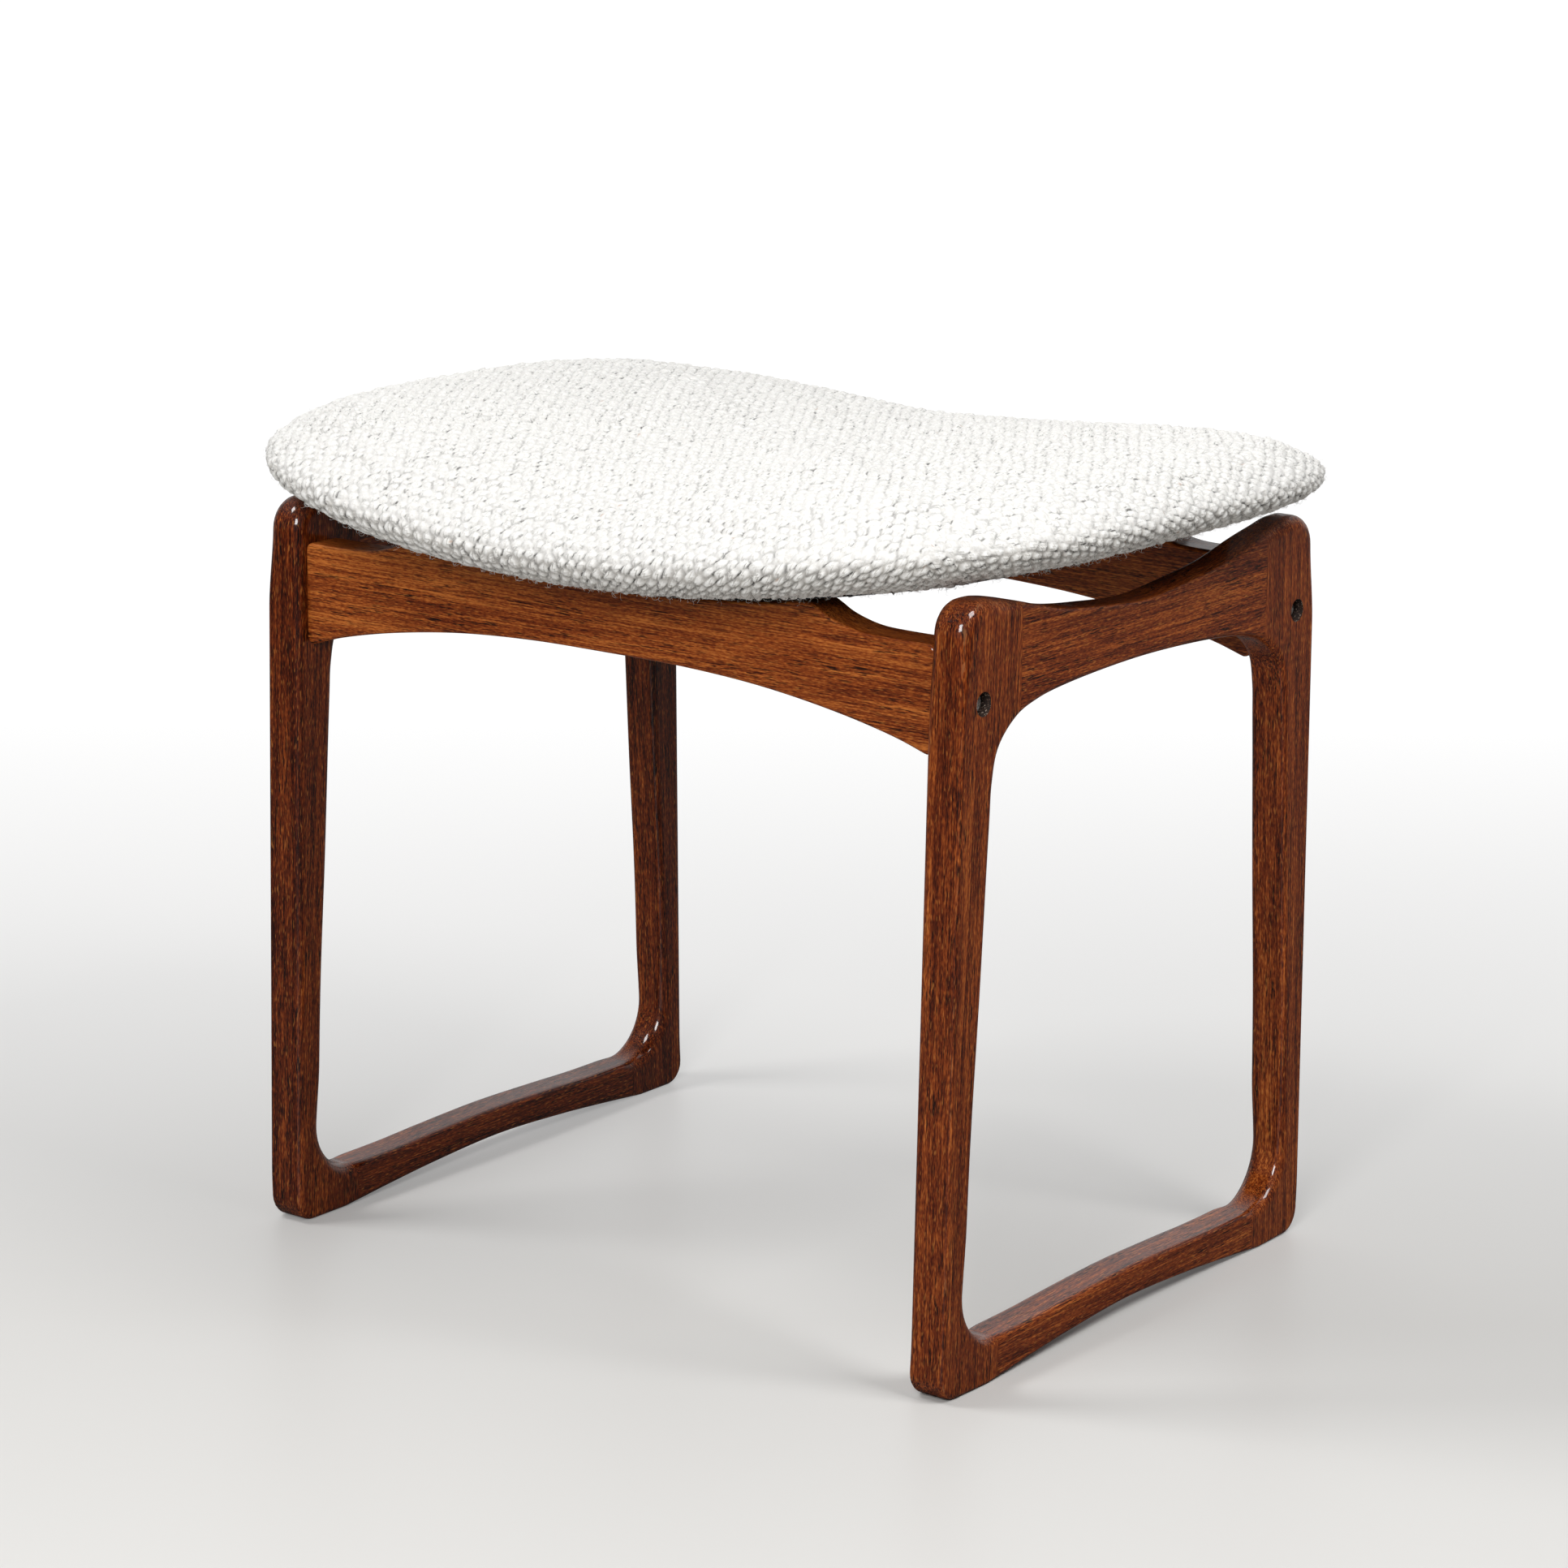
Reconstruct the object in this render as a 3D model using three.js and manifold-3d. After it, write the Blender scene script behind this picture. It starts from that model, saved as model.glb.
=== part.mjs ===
// A low stool with two closed side frames, a front and a rear stretcher, and an upholstered saddle seat.
// Millimetres, +Z up. X runs along the width and Y to the rear.
// The origin is on the floor under the seat's centre.
import * as THREE from "three";
import { mergeVertices } from "three/addons/utils/BufferGeometryUtils.js";
import Module from "manifold-3d";

// ---- Driving dimensions ----

const GAP = 0.15; // each piece stays this far back from a face that it shares

const FRAME_WIDTH = 457; // over the outer faces of the side frames
const STOCK = 22; // thickness of the side frames and of the stretchers
const ARRIS = 3; // rounding of the long edges
const FLOOR_HALF_DEPTH = 170.3; // half depth of a side frame at the floor
const TOP_HALF_DEPTH = 163.1; // and at the top of its legs
const LEG_TOP = 405;
const FOOT_RADIUS = 13;
const HORN_RADIUS = 17; // the outer corner at the top of a leg
const TOP_SEAM = 114; // where the legs meet the top rail, in |Y|
const RUNNER_SEAM = 122; // where the legs meet the runner, in |Y|

const STRETCHER_Y = 146.2; // middle plane of each stretcher, in |Y|
const SHOULDER_Z = 382.2; // top of a stretcher beside its raised middle
const PAD_HALF_LENGTH = 130; // the raised middle that carries the seat
const BOLT_Z = 354.2; // height of the connector bolts

const RAIL_DOWEL = { radius: 4, reach: 20, heights: [360, 384] };
const RUNNER_DOWEL = { radius: 3, reach: 18, height: 12.5, spread: 5 };
const STRETCHER_DOWEL = { radius: 4, legReach: 12, reach: 18, height: 337 };
const COUNTERBORE = { radius: 6.2, depth: 11 };
const WASHER = { radius: 5.8, bore: 3.4, thickness: 1.2 };
const BOLT = { headRadius: 5.2, headHeight: 4.5, radius: 3, length: 50 };
const BARREL_NUT = { radius: 5, length: 16, inset: 26.5, bore: 3.35 };
const SEAT_SCREW = { x: 100, headRadius: 5.5, headHeight: 3.5, radius: 3, headZ: 348.7 };
const TEE_NUT = { radius: 9, thickness: 1.2, barrelRadius: 4, barrelLength: 7, bore: 3.4, depth: 2.1 };
const PLAY = 0.3; // free space around a pin, dowel, bolt or nut
const FACET_GAP = 0.8; // between curved layers, whose facets don't fall on each other

// The seat's plan is a squared ellipse. Its middle surface is a saddle that rises towards both ends.
const SEAT = {
  halfWidth: 269.6,
  halfDepth: 212.4,
  squareness: 3.03, // exponent of the squared ellipse
  endFlare: 0.068, // how much deeper the plan grows towards its ends
  centreZ: 408.3,
  rise: 38.1, // rise of the ends
  riseEase: -13.5, // flattens that rise near the ends
  edgeFall: -3.5, // fall towards the front and rear edges
  cornerLift: 1.8,
  crown: 34.8, // height of the padding's top over the middle surface
  crownPower: 2.94,
  belly: 22.3, // depth of the underside below the middle surface
  bellyPower: 5.14,
};
const SEAT_FACETS = 36;
const COVER_THICKNESS = 2.5;
const SHELL_THICKNESS = 11;
const SHELL_REACH = 0.93; // the shell's edge, as a share of the seat's plan
const FLAP_REACH = 0.76; // how far in the cover folds under the shell
const DUST_REACH = 0.82; // the edge of the dust cover
const MIDDLE_REACHES = [0, 0.38, 0.62]; // where the underside of every layer bends, up to the flap
const RIM_REACHES = [FLAP_REACH, DUST_REACH, SHELL_REACH, 0.965]; // and from there to the rim
const DUST_THICKNESS = 0.8;

const frameX = (FRAME_WIDTH - STOCK) / 2; // middle plane of each side frame, in |X|
const innerFaceX = FRAME_WIDTH / 2 - STOCK;
const counterboreX = FRAME_WIDTH / 2 - COUNTERBORE.depth;
const washerX = counterboreX + 2 * GAP;
const boltHeadX = washerX + WASHER.thickness + 2 * GAP;
const boltTipX = boltHeadX - BOLT.length;
const nutX = innerFaceX - BARREL_NUT.inset;

const SIGNS = [-1, 1];
const sideName = (sign) => (sign < 0 ? "left" : "right");
const endName = (sign) => (sign < 0 ? "front" : "rear");

// ---- Materials ----

const materials = {
  walnut: { color: 0x5a2a16, roughness: 0.4 },
  beech: { color: 0xc8a273, roughness: 0.7 },
  steel: { color: 0x6f6a64, roughness: 0.35, metalness: 1 },
  plywood: { color: 0xb98d5c, roughness: 0.75 },
  foam: { color: 0xe3d7a8, roughness: 1 },
  boucle: { color: 0xece9e2, roughness: 0.95 },
  cambric: { color: 0x1d1c1b, roughness: 1 },
};

function part(name, material, geometry) {
  const mesh = new THREE.Mesh(geometry, new THREE.MeshStandardMaterial(materials[material]));
  mesh.name = name;
  return mesh;
}

// ---- Solids and booleans ----

const wasm = await Module();
wasm.setup();

function toSolid(geometry) {
  const bare = new THREE.BufferGeometry();
  bare.setAttribute("position", geometry.getAttribute("position").clone());
  bare.setIndex(geometry.index);
  const merged = mergeVertices(bare, 1e-4);
  return new wasm.Manifold(
    new wasm.Mesh({
      numProp: 3,
      vertProperties: merged.getAttribute("position").array,
      triVerts: Uint32Array.from(merged.index.array),
    }),
  );
}

function toGeometry(solid) {
  const mesh = solid.getMesh();
  const geometry = new THREE.BufferGeometry();
  geometry.setAttribute("position", new THREE.BufferAttribute(mesh.vertProperties, 3));
  geometry.setIndex(new THREE.BufferAttribute(mesh.triVerts, 1));
  return geometry;
}

const join = (a, b) => toGeometry(toSolid(a).add(toSolid(b)));
const keep = (geometry, region) => toGeometry(toSolid(geometry).intersect(toSolid(region)));

function cut(geometry, tools) {
  let solid = toSolid(geometry);
  for (const tool of tools) solid = solid.subtract(toSolid(tool));
  return toGeometry(solid);
}

// A box given by its lowest and highest corners.
function block(low, high) {
  const size = high.map((value, i) => value - low[i]);
  const middle = high.map((value, i) => (value + low[i]) / 2);
  return new THREE.BoxGeometry(...size).translate(...middle);
}

// Turns a shape made about +Y so that it stands along an axis, and moves it to the other two coordinates, at.
function along(axis, geometry, at) {
  if (axis === "x") return geometry.rotateZ(-Math.PI / 2).translate(0, at[0], at[1]);
  if (axis === "y") return geometry.translate(at[0], 0, at[1]);
  return geometry.rotateX(Math.PI / 2).translate(at[0], at[1], 0);
}

function rod(axis, from, to, radius, at, facets = 12) {
  const geometry = new THREE.CylinderGeometry(radius, radius, Math.abs(to - from), facets);
  return along(axis, geometry.translate(0, (from + to) / 2, 0), at);
}

// A closed profile of [radius, height] pairs, turned about an axis.
function turned(axis, profile, at, facets = 12) {
  const points = profile.map(([radius, height]) => new THREE.Vector2(radius, height));
  return along(axis, new THREE.LatheGeometry(points, facets), at);
}

// ---- Outlines ----

const vectors = (points) => points.map(([a, b]) => new THREE.Vector2(a, b));
const evenly = (steps) => Array.from({ length: steps + 1 }, (_, i) => i / steps);

function arc(a, b, radius, fromDegrees, toDegrees, steps) {
  return evenly(steps).map((share) => {
    const angle = THREE.MathUtils.degToRad(fromDegrees + (toDegrees - fromDegrees) * share);
    return [a + radius * Math.cos(angle), b + radius * Math.sin(angle)];
  });
}

const curve = (points, steps) =>
  new THREE.SplineCurve(vectors(points)).getPoints(steps).map((point) => [point.x, point.y]);

// Closes half an outline, which starts and ends on the mirror line, with its own reflection.
function mirrored(points) {
  const reflection = points.slice(1, -1).reverse().map(([a, b]) => [-a, b]);
  return vectors([...points, ...reflection]);
}

// A board of the stock's thickness with rounded long edges, its middle plane at 0.
function board(shape) {
  const geometry = new THREE.ExtrudeGeometry(shape, {
    depth: STOCK - 2 * ARRIS,
    bevelThickness: ARRIS,
    bevelSize: ARRIS,
    bevelOffset: -ARRIS,
    bevelSegments: 1,
  });
  return geometry.translate(0, 0, ARRIS - STOCK / 2);
}

// ---- Side frames ----

// The rear half of a side frame's outline, from the middle of the runner's underside to the top rail.
const frameOutline = mirrored([
  ...curve([[0, 8.8], [57, 6.4], [94, 3.5], [122, 0.9], [132, 0]], 8),
  ...arc(FLOOR_HALF_DEPTH - FOOT_RADIUS, FOOT_RADIUS, FOOT_RADIUS, -90, 1, 4),
  ...arc(TOP_HALF_DEPTH - HORN_RADIUS, LEG_TOP - HORN_RADIUS, HORN_RADIUS, 1, 90, 5),
  ...curve([[137, 404.6], [118, 400.8], [96, 395.1], [75, 390.4], [42, 386.4], [0, 383.3]], 10),
]);

// The same for the opening, from the middle of the runner's top to the top rail's underside.
const LOWER_FILLET = 30;
const openingOutline = mirrored([
  ...curve([[0, 25.3], [50, 24.2], [85, 23], [105, 22.8]], 4),
  ...arc(151.3 - LOWER_FILLET, 22.8 + LOWER_FILLET, LOWER_FILLET, -90, 0, 6),
  [148.2, 132],
  [142.9, 207],
  [137.2, 297],
  ...curve([[135.6, 313], [131, 329], [116, 342], [98, 347.6], [73, 350.8], [0, 353.6]], 11),
]);

// A whole side frame, its thickness centred on X = 0. The outlines hold (Y, Z) pairs.
function ringGeometry() {
  const shape = new THREE.Shape(frameOutline);
  shape.holes.push(new THREE.Path(openingOutline));
  return board(shape).rotateY(Math.PI / 2).rotateX(Math.PI / 2);
}

const ring = ringGeometry();
const frameRegion = (lowY, highY, lowZ, highZ) => block([-STOCK, lowY, lowZ], [STOCK, highY, highZ]);

// Only the legs stand between these two heights, so a seam region may end at either.
const LOW_Z = 100;
const HIGH_Z = 300;
const railBlank = keep(ring, frameRegion(GAP - TOP_SEAM, TOP_SEAM - GAP, HIGH_Z, 500));
const runnerBlank = keep(ring, frameRegion(GAP - RUNNER_SEAM, RUNNER_SEAM - GAP, -10, LOW_Z));
const rearLegBlank = keep(
  ring,
  join(frameRegion(TOP_SEAM + GAP, 200, LOW_Z, 500), frameRegion(RUNNER_SEAM + GAP, 200, -10, HIGH_Z)),
);

// A dowel along Y across a seam. With play it is the blind hole that the dowel leaves on both sides.
const acrossSeam = (seam, size, at, play = 0) =>
  rod("y", seam - size.reach - play, seam + size.reach + play, size.radius + play, at);

const railDowelPlaces = RAIL_DOWEL.heights.map((z) => [0, z]);
const runnerDowelPlaces = SIGNS.map((way) => [way * RUNNER_DOWEL.spread, RUNNER_DOWEL.height]);
const railHoles = (end) => railDowelPlaces.map((at) => acrossSeam(end * TOP_SEAM, RAIL_DOWEL, at, PLAY));
const runnerHoles = (end) =>
  runnerDowelPlaces.map((at) => acrossSeam(end * RUNNER_SEAM, RUNNER_DOWEL, at, PLAY));

function legGeometry(side, end) {
  const blank = end > 0 ? rearLegBlank : rearLegBlank.clone().rotateZ(Math.PI);
  const boltAt = [end * STRETCHER_Y, BOLT_Z];
  const dowelAt = [end * STRETCHER_Y, STRETCHER_DOWEL.height];
  const dowelFloor = STRETCHER_DOWEL.legReach + PLAY - STOCK / 2;
  return cut(blank, [
    rod("x", side * (counterboreX - frameX), side * STOCK, COUNTERBORE.radius, boltAt, 16),
    rod("x", -STOCK, STOCK, BOLT.radius + PLAY, boltAt),
    rod("x", side * dowelFloor, -side * STOCK, STRETCHER_DOWEL.radius + PLAY, dowelAt),
    ...railHoles(end),
    ...runnerHoles(end),
  ]);
}

function sideFrame(side) {
  const name = sideName(side);
  const frame = new THREE.Group();
  frame.position.x = side * frameX;
  frame.add(part(`top_rail_${name}`, "walnut", cut(railBlank, SIGNS.flatMap(railHoles))));
  frame.add(part(`runner_${name}`, "walnut", cut(runnerBlank, SIGNS.flatMap(runnerHoles))));
  for (const end of SIGNS) {
    const corner = `${endName(end)}_${name}`;
    frame.add(part(`leg_${corner}`, "walnut", legGeometry(side, end)));
    railDowelPlaces.forEach((at, i) => {
      const dowel = acrossSeam(end * TOP_SEAM, RAIL_DOWEL, at);
      frame.add(part(`rail_dowel_${corner}_${["lower", "upper"][i]}`, "beech", dowel));
    });
    runnerDowelPlaces.forEach((at, i) => {
      const dowel = acrossSeam(end * RUNNER_SEAM, RUNNER_DOWEL, at);
      frame.add(part(`runner_dowel_${corner}_${i + 1}`, "beech", dowel));
    });
  }
  return frame;
}

// ---- The seat's surfaces ----

// 0 at the seat's centre and 1 at its edge.
function seatReach(x, y) {
  const u = Math.abs(x) / SEAT.halfWidth;
  const w = Math.abs(y) / (SEAT.halfDepth * (1 + SEAT.endFlare * u * u));
  return (u ** SEAT.squareness + w ** SEAT.squareness) ** (1 / SEAT.squareness);
}

function seatMiddle(x, y) {
  const u2 = (x / SEAT.halfWidth) ** 2;
  const w2 = (y / (SEAT.halfDepth * (1 + SEAT.endFlare * u2))) ** 2;
  return SEAT.centreZ + u2 * (SEAT.rise + SEAT.riseEase * u2 + SEAT.cornerLift * w2) + SEAT.edgeFall * w2;
}

const insetScale = (inset) => 1 - (2 * inset) / (SEAT.halfWidth + SEAT.halfDepth);

// The underside's height over the middle surface, on a skin that lies inset from the outer one.
function underside(reach, inset = 0) {
  const share = Math.min(1, reach / insetScale(inset));
  return (inset - SEAT.belly) * Math.sqrt(1 - share ** SEAT.bellyPower);
}

const undersideZ = (x, y) => seatMiddle(x, y) + underside(seatReach(x, y));

// Profile points, [reach, height over the middle surface], of the top from the centre out to the rim.
const topProfile = (inset, steps) =>
  evenly(steps).map((share) => {
    const angle = (share * Math.PI) / 2;
    const reach = insetScale(inset) * Math.sin(angle) ** (2 / SEAT.crownPower);
    return [reach, (SEAT.crown - inset) * Math.cos(angle)];
  });

const undersideProfile = (inset, reaches) => reaches.map((reach) => [reach, underside(reach, inset)]);

// A round turned body whose plan is then stretched to the seat's and whose height follows the saddle.
function seatBody(profile) {
  const geometry = turned("z", profile, [0, 0], SEAT_FACETS);
  const place = geometry.getAttribute("position");
  for (let i = 0; i < place.count; i += 1) {
    const turn = Math.atan2(place.getY(i), place.getX(i));
    const reach = Math.hypot(place.getX(i), place.getY(i));
    const cos = Math.cos(turn);
    const sin = Math.sin(turn);
    const square = SEAT.squareness;
    const radius = (Math.abs(cos) ** square + Math.abs(sin) ** square) ** (-1 / square);
    const u = reach * radius * cos;
    const x = SEAT.halfWidth * u;
    const y = SEAT.halfDepth * reach * radius * sin * (1 + SEAT.endFlare * u * u);
    place.setXYZ(i, x, y, place.getZ(i) + seatMiddle(x, y));
  }
  return geometry;
}

// ---- Seat ----

const INNER_INSET = COVER_THICKNESS + 2 * GAP;
const shellUnderside = (reach) => underside(reach, INNER_INSET);
const shellTopZ = (x, y) => seatMiddle(x, y) + shellUnderside(seatReach(x, y)) + SHELL_THICKNESS;
const screwPlaces = SIGNS.flatMap((end) => SIGNS.map((side) => [side * SEAT_SCREW.x, end * STRETCHER_Y]));
const teeNutTop = shellTopZ(SEAT_SCREW.x, STRETCHER_Y) - TEE_NUT.depth + TEE_NUT.thickness;

// The skin of the padding: over the top, round the rim and a little way back under the shell.
const coverGeometry = () =>
  seatBody([
    [0, SEAT.crown - COVER_THICKNESS],
    ...topProfile(COVER_THICKNESS, 6).slice(1),
    ...undersideProfile(COVER_THICKNESS, RIM_REACHES).reverse(),
    ...undersideProfile(0, RIM_REACHES),
    ...topProfile(0, 7).reverse(),
  ]);

const shellReaches = [...MIDDLE_REACHES, ...RIM_REACHES.slice(0, 3)];

function shellGeometry() {
  const bottom = shellReaches.map((reach) => [reach, shellUnderside(reach)]);
  const top = bottom.map(([reach, height]) => [reach, height + SHELL_THICKNESS]).reverse();
  const holes = screwPlaces.flatMap((at) => [
    rod("z", 360, 440, TEE_NUT.barrelRadius + PLAY, at),
    rod("z", teeNutTop - TEE_NUT.thickness - PLAY, 440, TEE_NUT.radius + PLAY, at),
  ]);
  return cut(seatBody([...bottom, ...top]), holes);
}

// The padding fills the cover above the shell and wraps down round its edge.
function foamGeometry() {
  const edge = SHELL_REACH + FACET_GAP / SEAT.halfWidth;
  const overShell = [...shellReaches, edge].map((reach) => [
    reach,
    shellUnderside(reach) + SHELL_THICKNESS + FACET_GAP,
  ]);
  const inset = COVER_THICKNESS + FACET_GAP;
  const rim = undersideProfile(inset, [edge, RIM_REACHES.at(-1)]);
  return seatBody([...overShell, ...rim, ...topProfile(inset, 6).reverse()]);
}

// Thin black cloth stapled under the shell, over the cover's folded edge.
function dustCoverGeometry() {
  const reaches = [...MIDDLE_REACHES, ...RIM_REACHES.slice(0, 2)];
  const upper = reaches.map((reach) => [reach, underside(reach) - 2 * GAP]);
  const lower = upper.map(([reach, height]) => [reach, height - DUST_THICKNESS]);
  const holes = screwPlaces.map((at) => rod("z", 360, 420, SEAT_SCREW.radius + PLAY, at));
  return cut(seatBody([...lower, ...upper.reverse()]), holes);
}

function seat() {
  const group = new THREE.Group();
  group.add(part("seat_shell", "plywood", shellGeometry()));
  group.add(part("seat_foam", "foam", foamGeometry()));
  group.add(part("seat_cover", "boucle", coverGeometry()));
  group.add(part("dust_cover", "cambric", dustCoverGeometry()));
  return group;
}

// ---- Stretchers ----

// The stretcher's raised middle fits the seat's underside, dust cover included, at its lowest over the stock.
function padZ(x) {
  const lowest = Math.min(...SIGNS.map((way) => undersideZ(x, STRETCHER_Y + (way * STOCK) / 2)));
  return lowest - DUST_THICKNESS - 4 * GAP;
}

const STRETCHER_END = innerFaceX - 2 * GAP;
const STRETCHER_CORNER = 4;
const STRETCHER_FOOT_Z = 327; // underside at the ends
const padShares = [0.8, 0.6, 0.4, 0.2, 0];

const stretcherOutline = mirrored([
  ...curve([[0, 350.1], [52, 349.6], [102, 346.4], [151, 339.5], [185, 332.2]], 8),
  ...arc(STRETCHER_END - STRETCHER_CORNER, STRETCHER_FOOT_Z + STRETCHER_CORNER, STRETCHER_CORNER, -108, 0, 4),
  ...arc(STRETCHER_END - STRETCHER_CORNER, SHOULDER_Z - STRETCHER_CORNER, STRETCHER_CORNER, 0, 90, 3),
  ...curve([[176, SHOULDER_Z], [162, 382.8], [152, 384.7], [142, 388], [135.6, 391.4]], 6),
  [PAD_HALF_LENGTH, padZ(PAD_HALF_LENGTH)],
  ...padShares.map((share) => [share * PAD_HALF_LENGTH, padZ(share * PAD_HALF_LENGTH)]),
]);

// The stretcher's middle plane is Y = 0. inward is the sign of the face that looks under the seat.
function stretcherGeometry(inward) {
  const tools = SIGNS.flatMap((side) => {
    const outside = side * (innerFaceX + STOCK);
    const dowelFloor = side * (innerFaceX - STRETCHER_DOWEL.reach - PLAY);
    const nutFloor = -inward * (BARREL_NUT.length / 2 + PLAY);
    const screwAt = [side * SEAT_SCREW.x, 0];
    return [
      rod("x", outside, side * (boltTipX - 2), BOLT.radius + PLAY, [0, BOLT_Z]),
      rod("x", outside, dowelFloor, STRETCHER_DOWEL.radius + PLAY, [0, STRETCHER_DOWEL.height]),
      rod("y", nutFloor, inward * STOCK, BARREL_NUT.radius + PLAY, [side * nutX, BOLT_Z]),
      rod("z", 300, 450, SEAT_SCREW.radius + PLAY, screwAt),
      rod("z", 300, SEAT_SCREW.headZ + SEAT_SCREW.headHeight + PLAY, SEAT_SCREW.headRadius + PLAY, screwAt),
    ];
  });
  return cut(board(new THREE.Shape(stretcherOutline)).rotateX(Math.PI / 2), tools);
}

// ---- Hardware ----

// A round-headed fastener whose shank starts at 0 and whose head is at the positive end.
function fastener(size, length, slotWidth) {
  const chamfer = 0.6;
  const body = turned("y", [
    [0, -length],
    [size.radius - chamfer, -length],
    [size.radius, chamfer - length],
    [size.radius, 0],
    [size.headRadius, 0],
    [size.headRadius, size.headHeight - chamfer],
    [size.headRadius - chamfer, size.headHeight],
    [0, size.headHeight],
  ], [0, 0]);
  const slotFloor = size.headHeight - 1.6;
  const slot = block([-slotWidth / 2, slotFloor, -10], [slotWidth / 2, 10, 10]);
  return cut(body, [slot]);
}

const disc = (outer, bore, thickness, facets) =>
  turned("y", [[bore, 0], [outer, 0], [outer, thickness], [bore, thickness], [bore, 0]], [0, 0], facets);

// The pieces of one corner's stretcher joint: bolt, washer, barrel nut and locating dowel.
function stretcherJoint(side, end) {
  const corner = `${endName(end)}_${sideName(side)}`;
  const joint = new THREE.Group();
  const turn = (-side * Math.PI) / 2;
  const y = end * STRETCHER_Y;

  const bolt = part(`connector_bolt_${corner}`, "steel", fastener(BOLT, BOLT.length, 1.6));
  bolt.rotation.z = turn;
  bolt.position.set(side * boltHeadX, y, BOLT_Z);

  const washer = part(`washer_${corner}`, "steel", disc(WASHER.radius, WASHER.bore, WASHER.thickness, 14));
  washer.rotation.z = turn;
  washer.position.set(side * washerX, y, BOLT_Z);

  const nutEnd = BARREL_NUT.length / 2;
  const nutBody = rod("y", -nutEnd, nutEnd, BARREL_NUT.radius, [0, 0]);
  const thread = rod("x", -10, 10, BARREL_NUT.bore, [0, 0]);
  const nut = part(`barrel_nut_${corner}`, "steel", cut(nutBody, [thread]));
  nut.position.set(side * nutX, y, BOLT_Z);

  const dowelAt = [y, STRETCHER_DOWEL.height];
  const from = innerFaceX - STRETCHER_DOWEL.reach;
  const to = innerFaceX + STRETCHER_DOWEL.legReach;
  const dowelGeometry = rod("x", side * from, side * to, STRETCHER_DOWEL.radius, dowelAt);
  joint.add(bolt, washer, nut, part(`stretcher_dowel_${corner}`, "beech", dowelGeometry));
  return joint;
}

// A screw up through the stretcher, and the tee nut that takes it in the shell.
function seatFixing(side, end) {
  const corner = `${endName(end)}_${sideName(side)}`;
  const fixing = new THREE.Group();
  fixing.position.set(side * SEAT_SCREW.x, end * STRETCHER_Y, 0);

  const shankZ = SEAT_SCREW.headZ + SEAT_SCREW.headHeight;
  const screw = part(`seat_screw_${corner}`, "steel", fastener(SEAT_SCREW, teeNutTop - shankZ, 1.4));
  screw.rotation.x = -Math.PI / 2;
  screw.position.z = shankZ;

  const { radius, thickness, barrelRadius, barrelLength, bore } = TEE_NUT;
  const profile = [
    [bore, -barrelLength],
    [barrelRadius, -barrelLength],
    [barrelRadius, -thickness],
    [radius, -thickness],
    [radius, 0],
    [bore, 0],
    [bore, -barrelLength],
  ];
  const teeNut = part(`tee_nut_${corner}`, "steel", turned("z", profile, [0, 0]));
  teeNut.position.z = teeNutTop;

  fixing.add(screw, teeNut);
  return fixing;
}

// ---- Assembly ----

const stool = new THREE.Group();
for (const side of SIGNS) stool.add(sideFrame(side));
for (const end of SIGNS) {
  const stretcher = part(`stretcher_${endName(end)}`, "walnut", stretcherGeometry(-end));
  stretcher.position.y = end * STRETCHER_Y;
  stool.add(stretcher);
}
for (const end of SIGNS) {
  for (const side of SIGNS) stool.add(stretcherJoint(side, end), seatFixing(side, end));
}
stool.add(seat());

export default stool;
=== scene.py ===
import math

import bmesh
import bpy
import numpy as np
from mathutils import Matrix, Vector


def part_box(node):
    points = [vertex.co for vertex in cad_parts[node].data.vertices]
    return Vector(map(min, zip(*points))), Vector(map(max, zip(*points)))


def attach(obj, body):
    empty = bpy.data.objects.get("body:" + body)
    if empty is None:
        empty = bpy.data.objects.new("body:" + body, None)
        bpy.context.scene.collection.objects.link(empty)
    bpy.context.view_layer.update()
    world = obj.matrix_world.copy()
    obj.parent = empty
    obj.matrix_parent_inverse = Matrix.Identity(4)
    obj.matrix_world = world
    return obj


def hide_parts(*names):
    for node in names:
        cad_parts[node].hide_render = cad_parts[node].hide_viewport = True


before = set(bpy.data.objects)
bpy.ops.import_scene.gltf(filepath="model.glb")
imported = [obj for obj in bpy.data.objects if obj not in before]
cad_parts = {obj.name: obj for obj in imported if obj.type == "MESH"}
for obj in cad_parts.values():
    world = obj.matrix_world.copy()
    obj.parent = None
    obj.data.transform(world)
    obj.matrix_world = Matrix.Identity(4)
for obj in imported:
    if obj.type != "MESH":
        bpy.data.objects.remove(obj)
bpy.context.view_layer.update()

MM = 0.001
SIDES = {"left": -1, "right": 1}
ENDS = {"front": -1, "rear": 1}

# ---- Driving dimensions, as in the CAD ----

FRAME_WIDTH = 457
STOCK = 22
HALF = STOCK / 2
FLOOR_HALF_DEPTH = 170.3
TOP_HALF_DEPTH = 163.1
LEG_TOP = 405
FOOT_RADIUS = 13
HORN_RADIUS = 17
LOWER_FILLET = 30
OPENING_HALF_DEPTH = 151.3
OPENING_FLOOR = 22.8
TOP_SEAM = 114
RUNNER_SEAM = 122
SEAM_GAP = 0.07  # a glued joint's hairline, on each side of it

STRETCHER_Y = 146.2
SHOULDER_Z = 382.2
PAD_HALF_LENGTH = 130
STRETCHER_CORNER = 4
BOLT_Z = 354.2

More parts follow.
